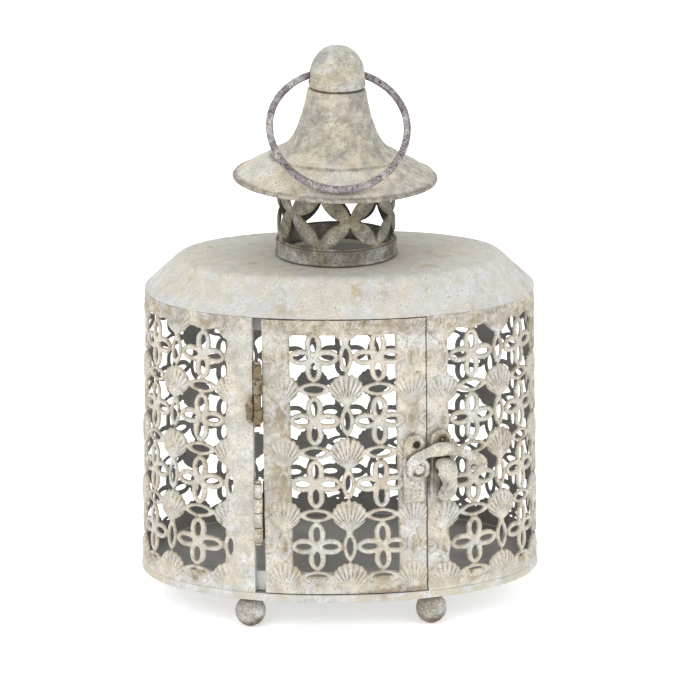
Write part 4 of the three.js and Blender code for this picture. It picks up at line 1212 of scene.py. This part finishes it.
LATCH_U, KEEPER_U, PIVOT_X, PIVOT_HEIGHT = 28.4, 39.6, 1.2, 58.1
UPPER_HOLE_X, UPPER_HOLE_Z, RIVET_X, RIVET_Z = 0.9, 67.8, 0.6, 69.2
PLATE_HALF_WIDTH, PLATE_STEP = 4.7, 0.28
latch_place, keeper_place = wall_frame(LATCH_U), wall_frame(KEEPER_U)
OUT = np.array([0.0, -1.0, 0.0])


def keeper_stains(x, z):
    """Darker brown beside the hook, and rust in the dish round the rivet."""
    beside = np.clip((1.5 - x) / 3, 0, 0.45) * np.clip((66 - z) / 4, 0, 1) * np.clip((z - 46) / 5, 0, 1)
    return np.maximum(beside, 0.9 * (np.hypot(x - RIVET_X, z - RIVET_Z) < 2.6))


def round_topped_plate(name, z0, z1, back, front, holes, seed, rim=0.25, stains=None):
    """An upright plate with a half-round top, worn edges and real round holes of (x, z, radius)."""
    half_width, margin = PLATE_HALF_WIDTH, 0.4

    def field(x, z):
        centre = z1 - half_width
        upper = half_width - np.hypot(x, z - centre)
        lower = np.minimum(half_width - np.abs(x), z - z0)
        depth = np.where(z > centre, upper, lower) + 0.05 * rough(flat_points(x, z), 2.5, seed)
        cavity = 0.8 * falloff(depth, 0.35)
        dish = np.zeros(np.shape(x))
        for hx, hz, hr in holes:
            gap = np.hypot(x - hx, z - hz) - hr
            depth = np.minimum(depth, gap)
            dish -= 0.35 * falloff(gap, 0.6)
            cavity = np.maximum(cavity, falloff(gap, 0.6))
        raised = (front - back) * (1 - 0.55 * falloff(depth, 0.35)) + dish
        return depth, raised + rim * np.exp(-((depth - 0.9) / 0.5) ** 2), cavity

    def place(x, height, z):
        return np.stack([x, -(back + height), z], -1) * MM

    return pierced_sheet(name, (-half_width - margin, half_width + margin), (z0 - margin, z1 + margin),
                         PLATE_STEP, field, place, [METAL_CREAM], 0.0, seed, stains)


def facing_pin(name, points, radius, step, material, segments, dents, grain, seed, at, grime_and_shade=None):
    """A turned piece whose axis points out of the wall, at (x, y, z) in mm."""
    line = lathe_profile(points, radius, step)
    obj = turned(name, line, np.zeros(3), [material], segments, dents, grain, seed, grime_and_shade=grime_and_shade)
    return moved(obj, shift_mm(*at) @ FACING_OUT)


plate = round_topped_plate("latch_back_plate", 43, 72.4, 0.35, 1.2,
                           [(PIVOT_X, PIVOT_HEIGHT, 1.6), (UPPER_HOLE_X, UPPER_HOLE_Z, 1.35)], 101)
# Painted shade: a near-black screw head, sunk in the plate's upper hole, stands for the shade inside the
# hole.
hole_shade = facing_pin("latch_hole_shade", [(0, -0.2), (1.3, -0.2), (1.3, 0.2), (0.5, 0.1), (0, 0.1)], 0.1, 0.4,
                   HOLE_SHADE, 32, 0.2, 0.1, 110, (UPPER_HOLE_X, -0.5, UPPER_HOLE_Z))
plate = joined("latch_back_plate", [plate, hole_shade])
settle(moved(plate, latch_place), "door", "beige_paint", "latch_plate")

# The swan-necked arm: (x, z, half width) along its middle.
arm_points = spline_through([
    (-2.2, 57.6, 2.0), (-1.6, 60.2, 2.6), (0.2, 62.4, 2.5), (2.8, 64.0, 2.2), (5.9, 65.1, 2.3),
    (9.2, 65.9, 2.9), (12.2, 66.0, 3.0), (15.0, 65.6, 2.5), (18.2, 64.6, 2.0), (21.4, 63.0, 1.9),
    (24.6, 61.4, 2.5), (27.4, 59.8, 2.4), (28.4, 57.6, 1.8), (26.8, 56.4, 1.6), (24.6, 57.2, 1.3)], 110)
x, z, half_widths = arm_points.T
proud = 3.05 + 0.35 * np.sin(np.linspace(0, math.pi, len(x)))
along = unit(np.gradient(np.stack([x, z], -1), axis=0))
across = np.stack([-along[:, 1], np.zeros(len(along)), along[:, 0]], -1)
arm = sweep("arm_neck", np.stack([x, -proud, z], -1), across, OUT, half_widths, 0.55 * half_widths + 0.15,
            [METAL_CREAM], 30, grain=0.38, seed=102)
BOSS_SEGMENTS = 72
boss_points = [(0, -0.9), (4.2, -0.9), (5.0, -0.3), (5.05, 0.5), (4.4, 1.35), (3.6, 1.5), (3.2, 1.1),
               (2.7, 0.6), (0, 0.5)]
radius, level = lathe_profile(boss_points, 0.5, 0.5).T
turn_angle = np.linspace(0, 2 * math.pi, BOSS_SEGMENTS, endpoint=False)
# Painted shade: on one side of the boss, its dish inside the raised lip turns to the darker plate colour.
shaded_side = np.clip(0.7 - np.cos(turn_angle - 0.6), 0, 1)[:, None]
boss_hollow_shade = shaded_side * np.clip((3.6 - radius) / 0.8, 0, 1) * (level > 0.2)
boss = facing_pin("arm_boss", boss_points, 0.5, 0.5, METAL_CREAM, BOSS_SEGMENTS, 0.6, 0.45, 103,
                  (PIVOT_X, -2.65, PIVOT_HEIGHT), boss_hollow_shade)
lump = sweep("arm_curl", [(23.6, -3.7, 63.4), (24.0, -4.2, 61.6), (23.2, -4.2, 59.9), (22.4, -3.8, 58.8)],
             [(1, 0, 0)] * 4, OUT, [1.3, 1.9, 1.7, 1.1], [0.9, 1.4, 1.3, 0.9], [METAL_CREAM], 24, 0.34, 104)
latch_arm = joined("latch_swan_arm", [arm, boss, lump])
settle(moved(latch_arm, latch_place), "latch_arm", "beige_paint", "latch_arm")

rivet = facing_pin(
    "latch_rivet", [(0, -2.6), (1.3, -2.6), (1.3, 0.3), (1.7, 0.5), (1.8, 1.0), (1.1, 1.6), (0, 1.8)],
    0.35, 0.4, METAL_CREAM, 48, 0.8, 0.5, 105, (PIVOT_X, -2.95, PIVOT_HEIGHT))
settle(moved(rivet, latch_place), "door", "rusty_steel", "latch_pivot_rivet")

plate = round_topped_plate("keeper_back", 44.2, 73.8, 0.5, 1.2, [(RIVET_X, RIVET_Z, 0.9)], 106, 0.5,
                           keeper_stains)
hook_points = spline_through([
    (-0.4, -1.4, 45.7, 2.0), (1.0, -2.6, 46.2, 3.0), (2.6, -3.6, 48.2, 3.3), (3.0, -4.1, 51.0, 3.0),
    (2.5, -4.2, 53.6, 3.4), (1.9, -4.2, 56.2, 4.3), (1.1, -3.9, 58.2, 4.4), (-0.4, -3.1, 59.4, 3.4),
    (-1.9, -1.8, 59.4, 2.1)], 80)
hook = tube("keeper_hook", hook_points[:, :3], hook_points[:, 3], [METAL_CREAM], 30, grain=0.42, seed=107)
nib_points = spline_through([(3.6, -6.4, 53.2, 1.1), (2.2, -7.2, 51.6, 1.3), (0.9, -7.0, 49.6, 1.2),
                             (0.4, -5.8, 47.6, 0.9)], 30)
nib = tube("keeper_nib", nib_points[:, :3], nib_points[:, 3], [METAL_CREAM], 20, grain=0.3, seed=109)
keeper = joined("keeper_casting", [plate, hook, nib])
settle(moved(keeper, keeper_place), "lantern", "beige_paint", "keeper")
rivet = facing_pin("keeper_pin", [(0, -1.0), (0.8, -1.0), (0.84, -0.4), (0.7, 0.1), (0, 0.2)], 0.2, 0.4,
                   CRUST, 32, 0.3, 0.2, 108, (RIVET_X, -1.3, RIVET_Z))
settle(moved(rivet, keeper_place), "lantern", "rusty_steel", "keeper_rivet")


# ---------------------------------------------------------------- floor, light and camera

FLOOR_HALF = 6.0                          # half the floor's side, in metres


def studio():
    """A pale floor that glows a little, a white world and three soft lamps."""
    floor_mesh = bpy.data.meshes.new("floor")
    s = FLOOR_HALF
    floor_mesh.from_pydata([(-s, -s, 0), (s, -s, 0), (s, s, 0), (-s, s, 0)], [], [(0, 1, 2, 3)])
    floor = bpy.data.objects.new("floor", floor_mesh)
    bpy.context.scene.collection.objects.link(floor)
    pale = bpy.data.materials.new("pale_floor")
    pale.use_nodes = True
    inputs = pale.node_tree.nodes["Principled BSDF"].inputs
    for key, value in (
        ("Base Color", (0.9, 0.9, 0.9, 1)), ("Emission Color", (1, 1, 1, 1)), ("Emission Strength", 0.45),
        ("Roughness", 0.9), ("Specular IOR Level", 0.1),
    ):
        inputs[key].default_value = value
    floor_mesh.materials.append(pale)

    world = bpy.data.worlds.new("studio")
    bpy.context.scene.world = world
    world.use_nodes = True
    background = world.node_tree.nodes["Background"].inputs
    background["Color"].default_value = (1, 1, 1, 1)
    background["Strength"].default_value = 0.9

    for name, at, size, energy in (
        ("key", (-0.9, -1.3, 1.5), 1.2, 15),
        ("fill", (1.4, -1.0, 0.9), 1.4, 6),
        ("back", (0.2, 1.3, 1.2), 1.4, 7),
    ):
        data = bpy.data.lights.new(name, "AREA")
        data.size, data.energy = size, energy
        lamp = bpy.data.objects.new(name, data)
        lamp.location = at
        lamp.rotation_euler = (Vector((0, 0, 0.1)) - Vector(at)).to_track_quat("-Z", "Y").to_euler()
        bpy.context.scene.collection.objects.link(lamp)


CAMERA_AT, CAMERA_HEADING, CAMERA_PITCH = (-0.0677, -1.4976, 0.545), (0.048, 0.9989, 0), 16.27
CAMERA_LENS, CAMERA_SENSOR = 190.06, 36.0


def camera():
    """The photograph's viewpoint: in front, a little to the left, looking down."""
    data = bpy.data.cameras.new("camera")
    data.lens, data.sensor_width = CAMERA_LENS, CAMERA_SENSOR
    data.clip_start, data.clip_end = 0.05, 50
    view = bpy.data.objects.new("camera", data)
    heading = Vector(CAMERA_HEADING).normalized()
    pitch = math.radians(CAMERA_PITCH)
    forward = heading * math.cos(pitch) + Vector((0, 0, -math.sin(pitch)))
    right = heading.cross(Vector((0, 0, 1))).normalized()
    up = right.cross(forward)
    basis = Matrix((right, up, -forward)).transposed().to_4x4()
    view.matrix_world = Matrix.Translation(CAMERA_AT) @ basis
    bpy.context.scene.collection.objects.link(view)
    bpy.context.scene.camera = view


studio()
camera()
bpy.context.scene.view_settings.view_transform = "Standard"
